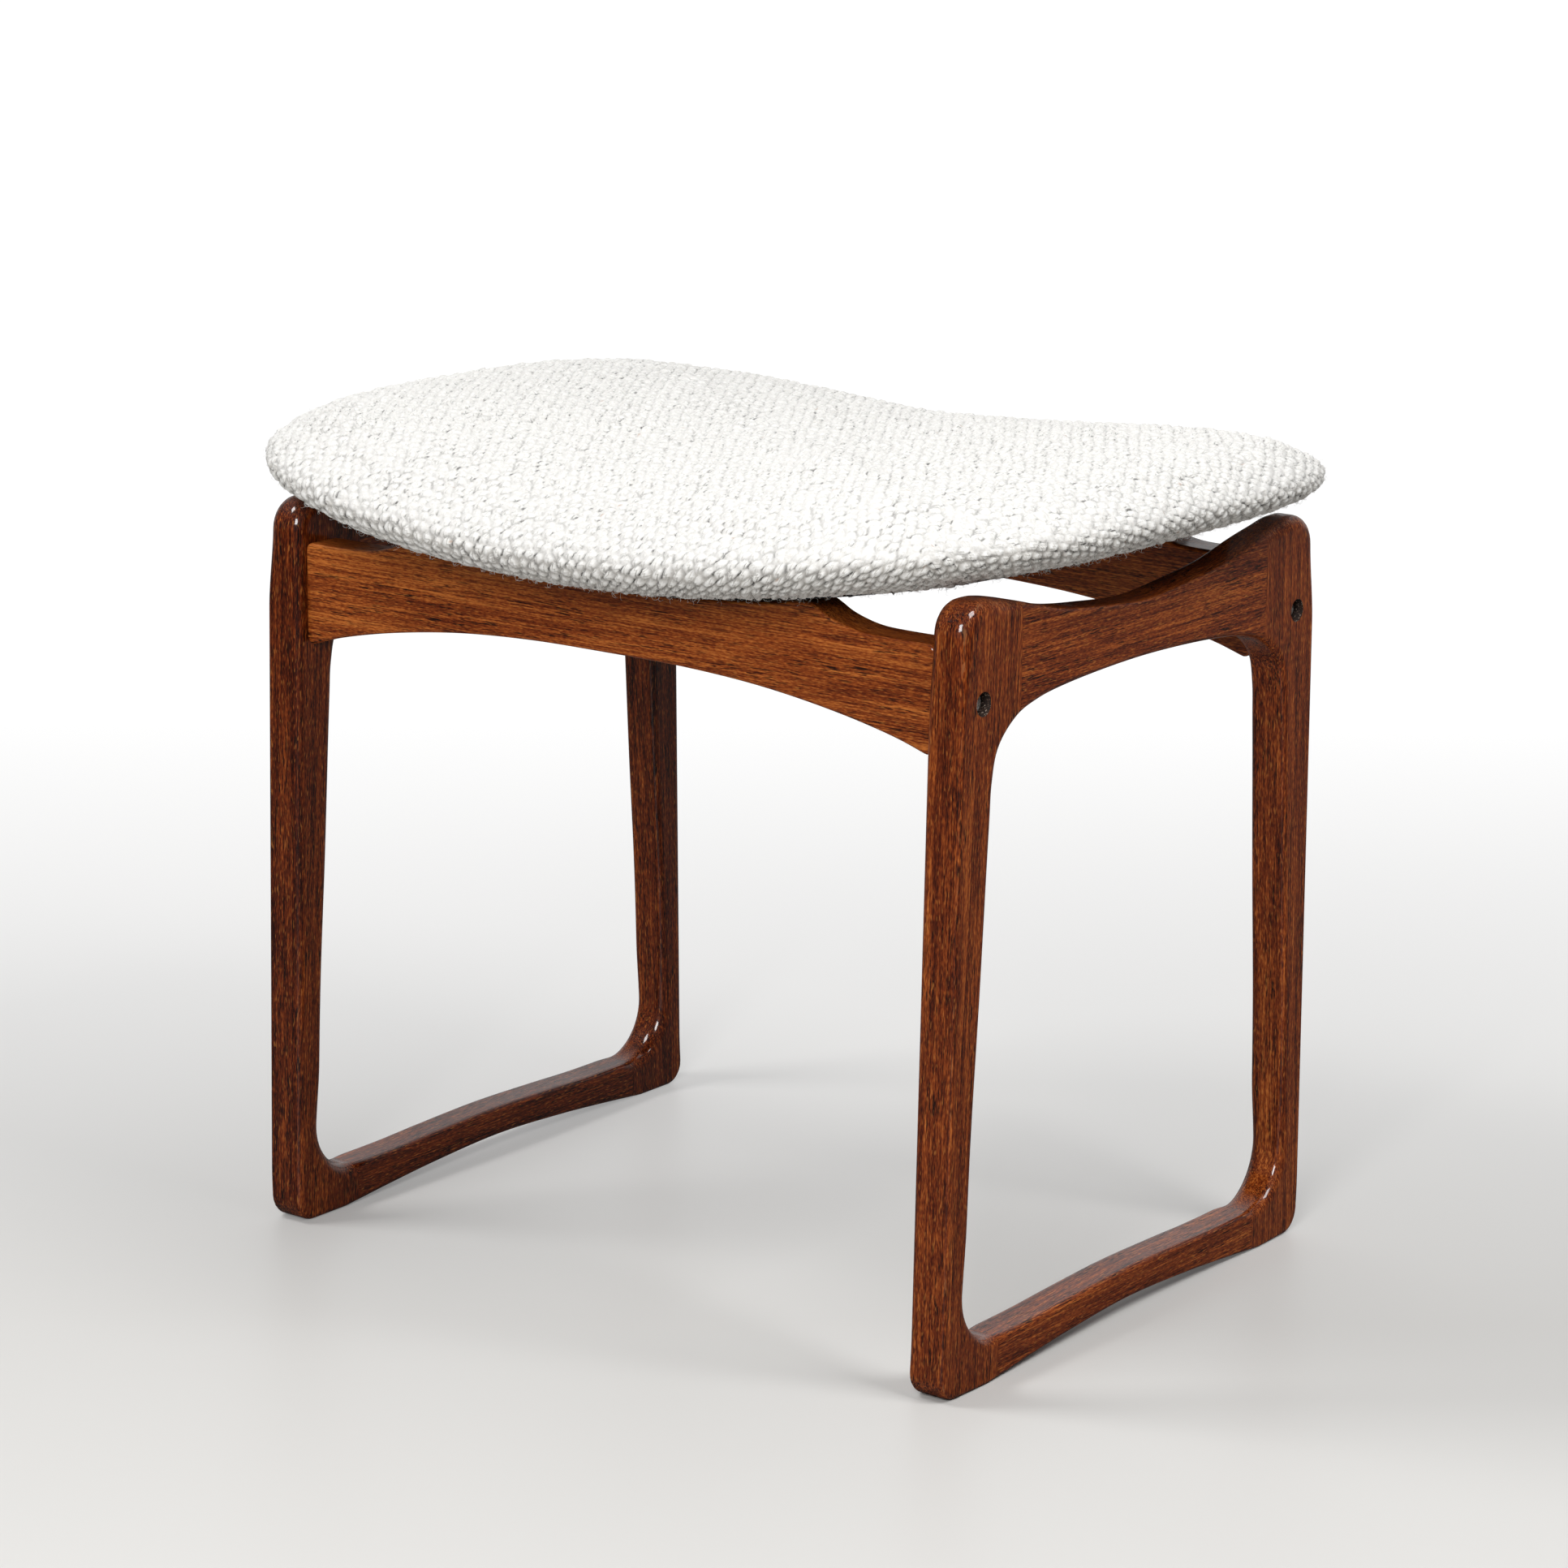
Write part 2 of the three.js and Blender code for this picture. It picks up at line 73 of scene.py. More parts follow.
RAIL_DOWEL = {"radius": 4.3, "reach": 20.3, "heights": (360, 384)}
RUNNER_DOWEL = {"radius": 3.3, "reach": 18.3, "height": 12.5, "spread": 5}
STRETCHER_DOWEL = {"radius": 4.3, "leg_reach": 12.3, "reach": 18.3, "height": 337}
COUNTERBORE = {"radius": 6.2, "depth": 11}
WASHER = {"radius": 5.8, "bore": 3.4, "thickness": 1.2}
BOLT = {"head_radius": 5.2, "head_height": 4.5, "radius": 3, "length": 50, "slot": 1.6}
BARREL_NUT = {"radius": 5, "length": 16, "inset": 26.5, "bore": 3.35}
SEAT_SCREW = {"head_radius": 5.5, "head_height": 3.5, "radius": 3, "slot": 1.4}
SCREW_X = 100
SCREW_HEAD_Z = 348.7
PLAY = 0.3

frame_x = (FRAME_WIDTH - STOCK) / 2
inner_face_x = FRAME_WIDTH / 2 - STOCK
counterbore_x = FRAME_WIDTH / 2 - COUNTERBORE["depth"]
washer_x = counterbore_x + PLAY
bolt_head_x = washer_x + WASHER["thickness"] + PLAY
nut_x = inner_face_x - BARREL_NUT["inset"]

# The seat's plan is a squared ellipse, and its middle surface a saddle that rises towards both ends.
HALF_WIDTH = 269.6
HALF_DEPTH = 212.4
MEAN_RADIUS = (HALF_WIDTH + HALF_DEPTH) / 2
SQUARENESS = 3.03
END_FLARE = 0.068
CENTRE_Z = 408.3
RISE = 38.1
RISE_EASE = -13.5
EDGE_FALL = -3.5
CORNER_LIFT = 1.8
CROWN = 34.8
CROWN_POWER = 2.94
BELLY = 22.3
BELLY_POWER = 5.14
FLAP_REACH = 0.76
SHELL_REACH = 0.93
SHELL_THICKNESS = 11
COVER_THICKNESS = 2.5
DUST_REACH = 0.82
DUST_THICKNESS = 0.5
INNER_SKIN = COVER_THICKNESS + 0.45  # the cover's inside, which stays clear of the foam
FOAM_INSET = COVER_THICKNESS + 0.8
SHELL_CLEARANCE = 0.8

# ---- Pieces ----


def linked(name, data):
    thing = bpy.data.objects.new(name, data)
    bpy.context.scene.collection.objects.link(thing)
    return thing


def solid(name, points, faces, smooth=True):
    """A closed object from points in millimetres, with its faces turned outwards."""
    mesh = bpy.data.meshes.new(name)
    mesh.from_pydata((np.asarray(points, float) * MM).tolist(), [], faces)
    mesh.validate()
    if signed_volume(mesh) < 0:
        mesh.flip_normals()
    mesh.polygons.foreach_set("use_smooth", [smooth] * len(mesh.polygons))
    return linked(name, mesh)


def new_piece(name, points, faces, material, nodes=(), smooth=True):
    """A solid that rides on the stool and stands for CAD nodes."""
    piece = solid(name, points, faces, smooth)
    piece.data.materials.append(material)
    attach(piece, "root")
    if nodes:
        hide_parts(*nodes)
    return piece


def signed_volume(mesh):
    shape = bmesh.new()
    shape.from_mesh(mesh)
    volume = shape.calc_volume(signed=True)
    shape.free()
    return volume


def sharpen(piece, degrees=32):
    piece.data.set_sharp_from_angle(angle=math.radians(degrees))


def point_values(piece, name, values):
    piece.data.attributes.new(name, "FLOAT", "POINT").data.foreach_set("value", values)


def settle(piece):
    """Applies the modifiers of a piece."""
    shown = piece.evaluated_get(bpy.context.evaluated_depsgraph_get())
    mesh = bpy.data.meshes.new_from_object(shown)
    piece.modifiers.clear()
    piece.data = mesh


def numbered(rows, columns, first=0):
    """Point numbers of a grid, row by row."""
    return first + np.arange(rows * columns).reshape(rows, columns)


def wrapped(numbers, axis):
    """A grid of numbers closed on itself, with its first row or column again after the last."""
    return np.concatenate([numbers, numbers.take([0], axis)], axis)


def grid_faces(numbers, flip=False):
    loops = [numbers[:-1, :-1], numbers[1:, :-1], numbers[1:, 1:], numbers[:-1, 1:]]
    return np.stack(loops[::-1] if flip else loops, axis=-1).reshape(-1, 4).tolist()


def tube_faces(numbers):
    """Faces of a tube with closed ends. numbers has a row for each section along it."""
    return grid_faces(wrapped(numbers, 1)) + [numbers[0].tolist(), numbers[-1, ::-1].tolist()]


def circle(radius, facets):
    turns = np.arange(facets) * 2 * math.pi / facets
    return radius * np.column_stack([np.cos(turns), np.sin(turns)])


def rod(axis, start, stop, radius, at, facets=48):
    """Points and faces of a cylinder along an axis. at holds its other two coordinates."""
    rim = circle(radius, facets) + at
    points = np.vstack([np.insert(rim, axis, end, axis=1) for end in (start, stop)])
    return points, tube_faces(numbered(2, facets))


def block(low, high):
    points = [(x, y, z) for x in (low[0], high[0]) for y in (low[1], high[1]) for z in (low[2], high[2])]
    faces = [(0, 1, 3, 2), (4, 6, 7, 5), (0, 4, 5, 1), (2, 3, 7, 6), (0, 2, 6, 4), (1, 5, 7, 3)]
    return points, faces


def cut(piece, tools):
    """Cuts each tool, given as points and faces, out of a piece."""
    for points, faces in tools:
        tool = solid("tool", points, faces)
        boolean = piece.modifiers.new("cut", "BOOLEAN")
        boolean.operation = "DIFFERENCE"
        boolean.solver = "MANIFOLD"
        boolean.object = tool
        settle(piece)
        mesh = tool.data
        bpy.data.objects.remove(tool)
        bpy.data.meshes.remove(mesh)


# ---- Materials ----


class Nodes:
    """Builds a node tree. An input is a value or another node's output."""

    def __init__(self, tree):
        self.tree = tree
        tree.nodes.clear()

    def node(self, kind, inputs=None, output=0, **settings):
        made = self.tree.nodes.new("ShaderNode" + kind)
        for name, value in settings.items():
            setattr(made, name, value)
        for name, value in (inputs or {}).items():
            if isinstance(value, bpy.types.NodeSocket):
                self.tree.links.new(value, made.inputs[name])
            else:
                made.inputs[name].default_value = value
        return made.outputs[output] if made.outputs else None

    def place(self, offset=(0, 0, 0), turn=(0, 0, 0), scale=(1, 1, 1)):
        """Object coordinates, turned, then stretched."""
        where = self.node("TexCoord", output=3)
        turned = self.node("Mapping", {"Vector": where, "Rotation": turn, "Location": offset})
        return self.node("Mapping", {"Vector": turned, "Scale": scale})

    def noise(self, vector, scale=1.0, detail=2.0, roughness=0.5, distortion=0.0):
        shape = {"Detail": detail, "Roughness": roughness, "Distortion": distortion}
        return self.node("TexNoise", {"Vector": vector, "Scale": scale, **shape})

    def math(self, operation, a, b=0.0):
        return self.node("Math", {0: a, 1: b}, operation=operation)

    def times(self, a, b):
        return self.math("MULTIPLY", a, b)

    def span(self, *limits):
        """A value between two limits as a share from 0 to 1, or between two other limits."""
        return self.node("MapRange", dict(enumerate(limits)))

    def along_back(self, vector):
        """How far a place or a direction lies away from the camera, on the level."""
        return self.node("VectorMath", {0: vector, 1: BACK_WAY}, output=1, operation="DOT_PRODUCT")

    def ramp(self, value, stops):
        made = self.tree.nodes.new("ShaderNodeValToRGB")
        self.tree.links.new(value, made.inputs[0])
        points = made.color_ramp.elements
        while len(points) < len(stops):
            points.new(0.5)
        for point, (position, colour) in zip(points, stops):
            point.position = position
            point.color = (*colour, 1)
        return made.outputs[0]

    def mix(self, factor, a, b):
        """A colour between a and b."""
        a, b = ((*end, 1) if isinstance(end, tuple) else end for end in (a, b))
        return self.node("Mix", {0: factor, 6: a, 7: b}, output=2, data_type="RGBA")

    def bump(self, height, strength, distance, normal=None):
        inputs = {"Height": height, "Strength": strength, "Distance": distance}
        if normal is not None:
            inputs["Normal"] = normal
        return self.node("Bump", inputs)


class Shader(Nodes):
    """A surface material."""

    def __init__(self, name):
        self.material = bpy.data.materials.new(name)
        self.material.use_nodes = True
        super().__init__(self.material.node_tree)

    def finish(self, **inputs):
        named = {name.replace("_", " "): value for name, value in inputs.items()}
        self.node("OutputMaterial", {"Surface": self.node("BsdfPrincipled", named)})
        return self.material


GRAIN_TURNS = {"x": (0, -math.pi / 2, 0), "y": (math.pi / 2, 0, 0), "z": (0, 0, 0)}
BACK_WAY = (-0.603, 0.798, 0)  # level, away from the camera
WALNUT_STOPS = [
    (0.20, (0.014, 0.0016, 0.0004)),
    (0.34, (0.060, 0.0078, 0.0013)),
    (0.48, (0.150, 0.0245, 0.0038)),
    (0.62, (0.300, 0.0640, 0.0100)),
    (0.80, (0.560, 0.1650, 0.0300)),
]


def walnut(name, grain, seed, slant=0.0, tone_and_painted_shade=0.0):
    """Oiled and lacquered wood. grain is the axis that the fibres follow, slant their lean in degrees.
    tone_and_painted_shade lifts or lowers the whole colour ramp: each piece's own lightness, with painted
    shade for the left frame.
    """
    s = Shader(name)
    turn = tuple(a + b for a, b in zip(GRAIN_TURNS[grain], (math.radians(slant), 0, 0)))
    offset = (seed * 0.37, seed * 0.61, seed * 0.23)

    def grained(across, along, detail, *more):
        return s.noise(s.place(offset, turn, (across, across, along)), 1.0, detail, *more)

    streaks = grained(260, 7, 3, 0.6)
    fibres = grained(1700, 30, 2, 0.6)
    layers = [
        (grained(38, 2.6, 4, 0.5, 0.7), 0.42),
        (streaks, 0.42),
        (grained(800, 13, 2, 0.6), 0.50),
        (fibres, 0.54),
        (grained(1400, 330, 1), 0.52),
    ]
    wood = tone_and_painted_shade - 0.695
    for layer, weight in layers:
        wood = s.math("ADD", wood, s.times(layer, weight))
    colour = s.ramp(wood, WALNUT_STOPS)

    pores = s.span(grained(1500, 100, 1), 0.56, 0.63)
    pores = s.times(pores, s.span(grained(120, 14, 1), 0.36, 0.60, 0.25, 1))
    colour = s.mix(s.times(pores, 0.92), colour, (0.008, 0.0016, 0.0006))
    glints = s.noise(s.place((seed, 0, 0), turn, (1500, 1500, 230)), detail=0)
    colour = s.mix(s.span(glints, 0.66, 0.80, 0, 0.4), colour, (0.62, 0.22, 0.045))

    worn = s.node("Attribute", output=2, attribute_name="wear")
    scuffs = grained(420, 110, 3)
    rubbed = s.times(s.span(worn, 0.6, 1.0), s.span(scuffs, 0.54, 0.64))
    colour = s.mix(s.times(rubbed, 0.4), colour, (0.50, 0.20, 0.075))

    roughness = s.span(streaks, 0.3, 0.7, 0.36, 0.48)
    relief = s.math("SUBTRACT", s.times(fibres, 0.4), pores)
    return s.finish(
        Base_Color=colour,
        Roughness=s.math("ADD", roughness, s.times(pores, 0.25)),
        Normal=s.bump(relief, 0.35, 0.00012),
        Specular_IOR_Level=0.08,
        Coat_Weight=0.5,
        Coat_Roughness=0.09,
        Coat_IOR=1.8,
    )


def bore_wall_painted_shade():
    """The rough wall of a bolt's counterbore, near black: walnut end grain, darkened further as painted shade
    of the deep hole, and chipped pale here and there.
    """
    s = Shader("bore_wall_painted_shade")
    chips = s.noise(s.place((6, 2, 1)), 950, 3, 0.7)
    stops = [(0.48, (0.010, 0.004, 0.002)), (0.60, (0.05, 0.018, 0.008)), (0.66, (0.60, 0.50, 0.40))]
    return s.finish(Base_Color=s.ramp(chips, stops), Roughness=0.75, Normal=s.bump(chips, 0.6, 0.0004))


def beech():
    s = Shader("beech")
    figure = s.noise(s.place((3, 1, 2), scale=(300, 300, 30)), detail=3)
    colour = s.ramp(figure, [(0.3, (0.46, 0.28, 0.13)), (0.7, (0.66, 0.45, 0.25))])
    return s.finish(Base_Color=colour, Roughness=0.65, Normal=s.bump(figure, 0.2, 0.0002))


def steel():
    s = Shader("steel")
    cloud = s.noise(s.place(), 1100, 4, 0.7)
    stops = [(0.32, (0.08, 0.07, 0.06)), (0.48, (0.45, 0.43, 0.40)), (0.60, (0.95, 0.93, 0.90))]
    return s.finish(
        Base_Color=s.ramp(cloud, stops),
        Metallic=0.75,
        Roughness=s.span(cloud, 0.3, 0.7, 0.6, 0.28),
        Normal=s.bump(cloud, 0.6, 0.0003),
    )


def plywood():
    s = Shader("plywood")
    wave = {"Vector": s.place(), "Scale": 140.0, "Distortion": 0.6}
    plies = s.node("TexWave", wave, bands_direction="Z")
    grain = s.noise(s.place((1, 2, 3), scale=(25, 600, 600)), detail=3)
    colour = s.ramp(grain, [(0.3, (0.40, 0.25, 0.12)), (0.7, (0.60, 0.42, 0.24))])
    colour = s.mix(s.times(plies, 0.3), colour, (0.28, 0.16, 0.08))
    return s.finish(Base_Color=colour, Roughness=0.7, Normal=s.bump(grain, 0.2, 0.0002))


def foam():
    s = Shader("foam")
    cells = s.node("TexVoronoi", {"Vector": s.place(), "Scale": 900.0})
    colour = s.ramp(cells, [(0.0, (0.52, 0.45, 0.25)), (0.5, (0.80, 0.72, 0.45))])
    return s.finish(Base_Color=colour, Roughness=1.0, Normal=s.bump(cells, 0.6, 0.0004))


def boucle():
    """Looped off-white wool, with painted shadow along the creases between its loops and painted shade
    round them, both stronger where the cover faces down. The mesh holds the loops and says where their
    creases run.
    """
    s = Shader("boucle")
    signed, painted_crease_shade, tint, low = (
        s.node("Attribute", output=2, attribute_name=name) for name in ("signed", "painted_crease_shade", "tint", "low")
    )
    fleck = s.noise(s.place((5, 1, 2)), 700, 3, 0.7)
    wisps = s.noise(s.place((1, 7, 4)), 1300, 3, 0.7)
    yarn = s.noise(s.place((2, 2, 9)), 2200)
    stops = [(0.25, (0.72, 0.70, 0.66)), (0.5, (0.85, 0.84, 0.815)), (0.75, (0.91, 0.905, 0.89))]

    wobble = s.span(wisps, 0.3, 0.7, -0.12, 0.12)
    off_line = s.math("ABSOLUTE", s.math("ADD", signed, wobble))
    # Painted shadow: thin near-black lines along some creases, wider where the cover faces down.
    thin = s.span(off_line, 0.10, s.span(low, 0.2, 1.0, 0.36, 0.58), 1.0, 0.0)
    broken = s.span(wisps, 0.28, 0.44)
    line = s.times(s.times(thin, painted_crease_shade), broken)
    # Painted shade: the wool greys round each crease, more where the cover faces down.
    hollow = s.span(off_line, 0.0, 0.8, 0.62, 0.0)
    hollow = s.times(hollow, s.math("POWER", low, 1.6))
    colour = s.mix(hollow, s.ramp(fleck, stops), (0.30, 0.27, 0.23))
    colour = s.mix(line, colour, (0.016, 0.013, 0.011))
    colour = s.mix(tint, colour, (0.42, 0.24, 0.14))
    return s.finish(
        Base_Color=colour,
        Roughness=0.95,
        Normal=s.bump(yarn, 0.45, 0.0005, s.bump(fleck, 0.5, 0.0012)),
        Sheen_Weight=0.25,
        Sheen_Roughness=0.5,
        Specular_IOR_Level=0.2,
    )


def wool():
    s = Shader("wool_fibre")
    shade = s.noise(s.place((2, 4, 1)), 400, 1)
    colour = s.ramp(shade, [(0.3, (0.72, 0.70, 0.66)), (0.6, (0.93, 0.92, 0.90))])
    return s.finish(Base_Color=colour, Roughness=0.8, Sheen_Weight=0.2)


def cambric():
    s = Shader("cambric")
    crumple = s.noise(s.place((4, 4, 1)), 60, 4)
    bonds = s.node("TexVoronoi", {"Vector": s.place(), "Scale": 650.0})
    colour = s.ramp(crumple, [(0.35, (0.010, 0.0095, 0.009)), (0.65, (0.022, 0.021, 0.020))])
    relief = s.bump(bonds, 0.5, 0.0003, s.bump(crumple, 0.3, 0.002))
    return s.finish(Base_Color=colour, Roughness=0.9, Normal=relief)


# ---- Outlines ----


def arc(a, b, radius, start, stop, steps=30):
    angles = np.radians(np.linspace(start, stop, steps + 1))
    return np.column_stack([a + radius * np.cos(angles), b + radius * np.sin(angles)])


def spline(points, before, after, steps=24):
    """A centripetal Catmull-Rom curve through points. before and after steer its ends."""
    guide = np.array([before, *points, after], float)
    knots = np.concatenate([[0], np.cumsum(np.hypot(*np.diff(guide, axis=0).T) ** 0.5)])
    share = np.linspace(0, 1, steps, endpoint=False)[:, None]
    pieces = []
    for i in range(1, len(guide) - 2):
        (a, b, c, d), (ta, tb, tc, td) = guide[i - 1 : i + 3], knots[i - 1 : i + 3]
        start = ((b - a) / (tb - ta) - (c - a) / (tc - ta) + (c - b) / (tc - tb)) * (tc - tb)
        stop = ((c - b) / (tc - tb) - (d - b) / (td - tb) + (d - c) / (td - tc)) * (tc - tb)
        pieces.append(
            (2 * share**3 - 3 * share**2 + 1) * b
            + (share**3 - 2 * share**2 + share) * start
            + (3 * share**2 - 2 * share**3) * c
            + (share**3 - share**2) * stop
        )
    return np.vstack([*pieces, guide[-2:-1]])


def mirrored(point):
    return (-point[0], point[1])


def closed_loop(half):
    """A whole outline from the half on its positive side, which starts and ends on the mirror line."""
    return np.vstack([half, half[-2:0:-1] * (-1, 1)])


class Loop:
    """A closed outline measured by the length along it."""

    def __init__(self, points):
        points = np.vstack([points, points[:1]])
        steps = np.hypot(*np.diff(points, axis=0).T)
        moved = steps > 1e-6
        self.points = points[np.concatenate([[True], moved])]
        self.lengths = np.concatenate([[0], np.cumsum(steps[moved])])
        self.total = self.lengths[-1]

    def at(self, length):
        length = np.mod(length, self.total)
        return np.column_stack([np.interp(length, self.lengths, values) for values in self.points.T])

    def normals(self, length, window=1.2):
        """Unit normals, pointing right of the way round."""
        way = self.at(length + window) - self.at(length - window)
        way /= np.hypot(*way.T)[:, None]
        return np.column_stack([way[:, 1], -way[:, 0]])

    def near(self, point):
        return self.lengths[np.argmin(np.hypot(*(self.points - point).T))]

    def crossing(self, level, low, high, rising):
        """The length where the first coordinate passes a level, between two heights."""
        over, height = self.points.T - [[level], [0]]
        if not rising:
            over = -over
        passes = (over[:-1] < 0) & (over[1:] >= 0) & (height[:-1] > low) & (height[:-1] < high)
        i = np.flatnonzero(passes)[0]
        share = over[i] / (over[i] - over[i + 1])
        return self.lengths[i] + share * (self.lengths[i + 1] - self.lengths[i])


def frame_outline():
    runner = [(0, 8.8), (57, 6.4), (94, 3.5), (122, 0.9), (132, 0)]
    horn_start = (TOP_HALF_DEPTH - HORN_RADIUS, LEG_TOP)
    rail = [horn_start, (137, 404.6), (118, 400.8), (96, 395.1), (75, 390.4), (42, 386.4), (0, 383.3)]
    half = np.vstack([
        spline(runner, mirrored(runner[1]), (150, 0)),
        arc(FLOOR_HALF_DEPTH - FOOT_RADIUS, FOOT_RADIUS, FOOT_RADIUS, -90, 1),
        arc(TOP_HALF_DEPTH - HORN_RADIUS, LEG_TOP - HORN_RADIUS, HORN_RADIUS, 1, 90)[:-1],
        spline(rail, (154, LEG_TOP), mirrored(rail[-2])),
    ])
    return Loop(closed_loop(half))


def opening_outline():
    fillet_y = OPENING_HALF_DEPTH - LOWER_FILLET
    fillet_z = OPENING_FLOOR + LOWER_FILLET
    runner = [(0, 25.3), (50, 24.2), (85, 23), (fillet_y, OPENING_FLOOR)]
    leg = [(OPENING_HALF_DEPTH, fillet_z), (148.2, 132), (142.9, 207), (137.2, 297), (135.6, 313)]
    rail = [(131, 329), (116, 342), (98, 347.6), (73, 350.8), (0, 353.6)]
    half = np.vstack([
        spline(runner, mirrored(runner[1]), (fillet_y + 15, OPENING_FLOOR))[:-1],
        arc(fillet_y, fillet_z, LOWER_FILLET, -90, 0)[:-1],
        spline([*leg, *rail], (152, 20), mirrored(rail[-2])),
    ])
    return Loop(closed_loop(half))


# ---- Side frames ----


def ease(value, low, high):
    share = np.clip((value - low) / (high - low), 0, 1)
    return share * share * (3 - 2 * share)


SUPPORT = 0.5  # a narrow flat strip beside each rounding keeps the wide faces flat
ARC_STEPS = 6


def arris_shares():
    """1 at the middle of each rounding of an edge section and 0 away from it: face A's, then face B's."""
    arch = np.sin(np.linspace(0, math.pi, ARC_STEPS + 1)) ** 4
    flat = np.zeros(ARC_STEPS + 3)
    one = np.concatenate([[0], arch, [0]])
    return np.concatenate([one, flat]), np.concatenate([flat, one])


def edge_surface(points, normals, leans, *radii):
    """The rounded edge along a run of outline points: (a, b, height) for each station and section point.
    The height runs over the thickness, from face A at +HALF to face B at -HALF."""
    angles = np.linspace(math.pi / 2, 0, ARC_STEPS + 1)
    insets, heights = [], []
    for radius in radii:
        radius = radius[:, None]
        insets.append(np.hstack([radius + SUPPORT, radius * (1 - np.cos(angles)), radius * 0]))
        heights.append(HALF - np.hstack([radius * 0, radius * (1 - np.sin(angles)), radius + SUPPORT]))
    inset = np.hstack([insets[0], insets[1][:, ::-1]])
    height = np.hstack([heights[0], -heights[1][:, ::-1]])
    way = leans / np.sum(leans * normals, axis=1)[:, None]
    edge = points[:, None] - inset[..., None] * way[:, None]
    return np.concatenate([edge, height[..., None]], axis=2)


def seam_leans(points, normals):
    """Directions of inset: the normal, turned upright at the seams, so that a piece ends in a flat face."""
    leans = normals.copy()
    for name, seam in SEAMS.items():
        near = (points[:, 1] > 200) == (name == "high")
        away = np.abs(np.abs(points[:, 0]) - seam)
        share = np.where(near, ease(away, 0, 26), 1)[:, None]
        upright = np.column_stack([np.zeros(len(points)), np.sign(normals[:, 1])])
        leans = leans * share + upright * (1 - share)
    return leans / np.hypot(*leans.T)[:, None]


def outer_radii(points):
    """Rounding of the frame's outer edge towards the seat and away from it."""
    depth, height = np.abs(points[:, 0]), points[:, 1]
    horn = ease(height, 345, 392) * ease(depth, 96, 128)
    foot = 1 - ease(height, 6, 30)
    return 4.6 + 3.2 * horn - 1.2 * foot, 2.0 + 5.6 * horn + 1.2 * foot * ease(depth, 130, 160)


def opening_radii(points):
    depth, height = np.abs(points[:, 0]), points[:, 1]
    lower = ease(depth, 112, 130) * (1 - ease(height, 48, 90))
    upper = ease(height, 290, 318)
    return 4.2 + 3.6 * lower + 0.6 * upper, 3.0 + 2.4 * lower + 0.8 * upper


def arc_middle(half_depth, height, radius, up=1):
    """The middle of a rounded corner's arc, from where its straight sides would meet."""
    inset = 0.29 * radius
    return half_depth - inset, height + up * inset


# The two edges of a side frame: the outline, the side that the wood lies on, the marks at its corners and the
# heights between which it crosses the lower and the upper seams.
EDGES = [
    {
        "loop": frame_outline(),
        "way": 1,
        "foot": arc_middle(FLOOR_HALF_DEPTH, 0, FOOT_RADIUS),
        "horn": arc_middle(TOP_HALF_DEPTH, LEG_TOP, HORN_RADIUS, -1),
        "low": (-1, 12),
        "high": (370, 410),
        "radii": outer_radii,
    },
    {
        "loop": opening_outline(),
        "way": -1,
        "foot": arc_middle(OPENING_HALF_DEPTH, OPENING_FLOOR, LOWER_FILLET),
        "horn": (130, 330),
        "low": (15, 40),
        "high": (330, 360),
        "radii": opening_radii,
    },
]
SEAMS = {"low": RUNNER_SEAM, "high": TOP_SEAM}
ROUTES = {
    "leg_rear": (["rear_low", "rear_foot", "rear_horn", "rear_high"], [44, 120, 44]),
    "top_rail": (["rear_high", "front_high"], [140]),
    "leg_front": (["front_high", "front_horn", "front_foot", "front_low"], [44, 120, 44]),
    "runner": (["front_low", "rear_low"], [130]),
}


def edge_marks(edge):
    """The lengths along an edge where it crosses the seams and rounds its corners."""
    marks = {}
    for end_name, end in ENDS.items():
        for name, seam in SEAMS.items():
            rising = name == "low"
            marks[f"{end_name}_{name}"] = edge["loop"].crossing(end * seam, *edge[name], rising)
        for name in ("foot", "horn"):
            y, z = edge[name]
            marks[f"{end_name}_{name}"] = edge["loop"].near((end * y, z))
    return marks


def run_lengths(loop, keys, counts):
    """Lengths along a loop that pass through the keys, with a count of steps between each two."""
    parts = []
    for start, stop, count in zip(keys, keys[1:], counts):
        way = (stop - start) % loop.total
        parts.append(start + way * np.linspace(0, 1, count, endpoint=False))
    return np.concatenate([*parts, [parts[-1][0] + way]])


def frame_pieces():
    """For each piece of a side frame: its name and closed sections along it."""
    for name, (stops, counts) in ROUTES.items():
        surfaces = []
        for edge in EDGES:
            loop, marks = edge["loop"], edge_marks(edge)
            lengths = run_lengths(loop, [marks[stop] for stop in stops], counts)
            lengths[0] += SEAM_GAP
            lengths[-1] -= SEAM_GAP
            points = loop.at(lengths)
            normals = loop.normals(lengths) * edge["way"]
            leans = seam_leans(points, normals)
            surfaces.append(edge_surface(points, normals, leans, *edge["radii"](points)))
        outer, opening = surfaces
        yield name, np.concatenate([outer, opening[:, ::-1]], axis=1)


def leg_tools(side, end):
    """The holes in a leg, in the stool's own place."""
    y = end * STRETCHER_Y
    face = side * FRAME_WIDTH / 2
    start = side * (inner_face_x - 5)
    dowel_end = side * (inner_face_x + STRETCHER_DOWEL["leg_reach"])
    dowel_at = (y, STRETCHER_DOWEL["height"])
    return [
        rod(0, side * counterbore_x, face + side * 5, COUNTERBORE["radius"], (y, BOLT_Z), 64),
        rod(0, start, face, BOLT["radius"] + PLAY, (y, BOLT_Z)),
        rod(0, start, dowel_end, STRETCHER_DOWEL["radius"], dowel_at),
        *seam_tools(side, end),
    ]


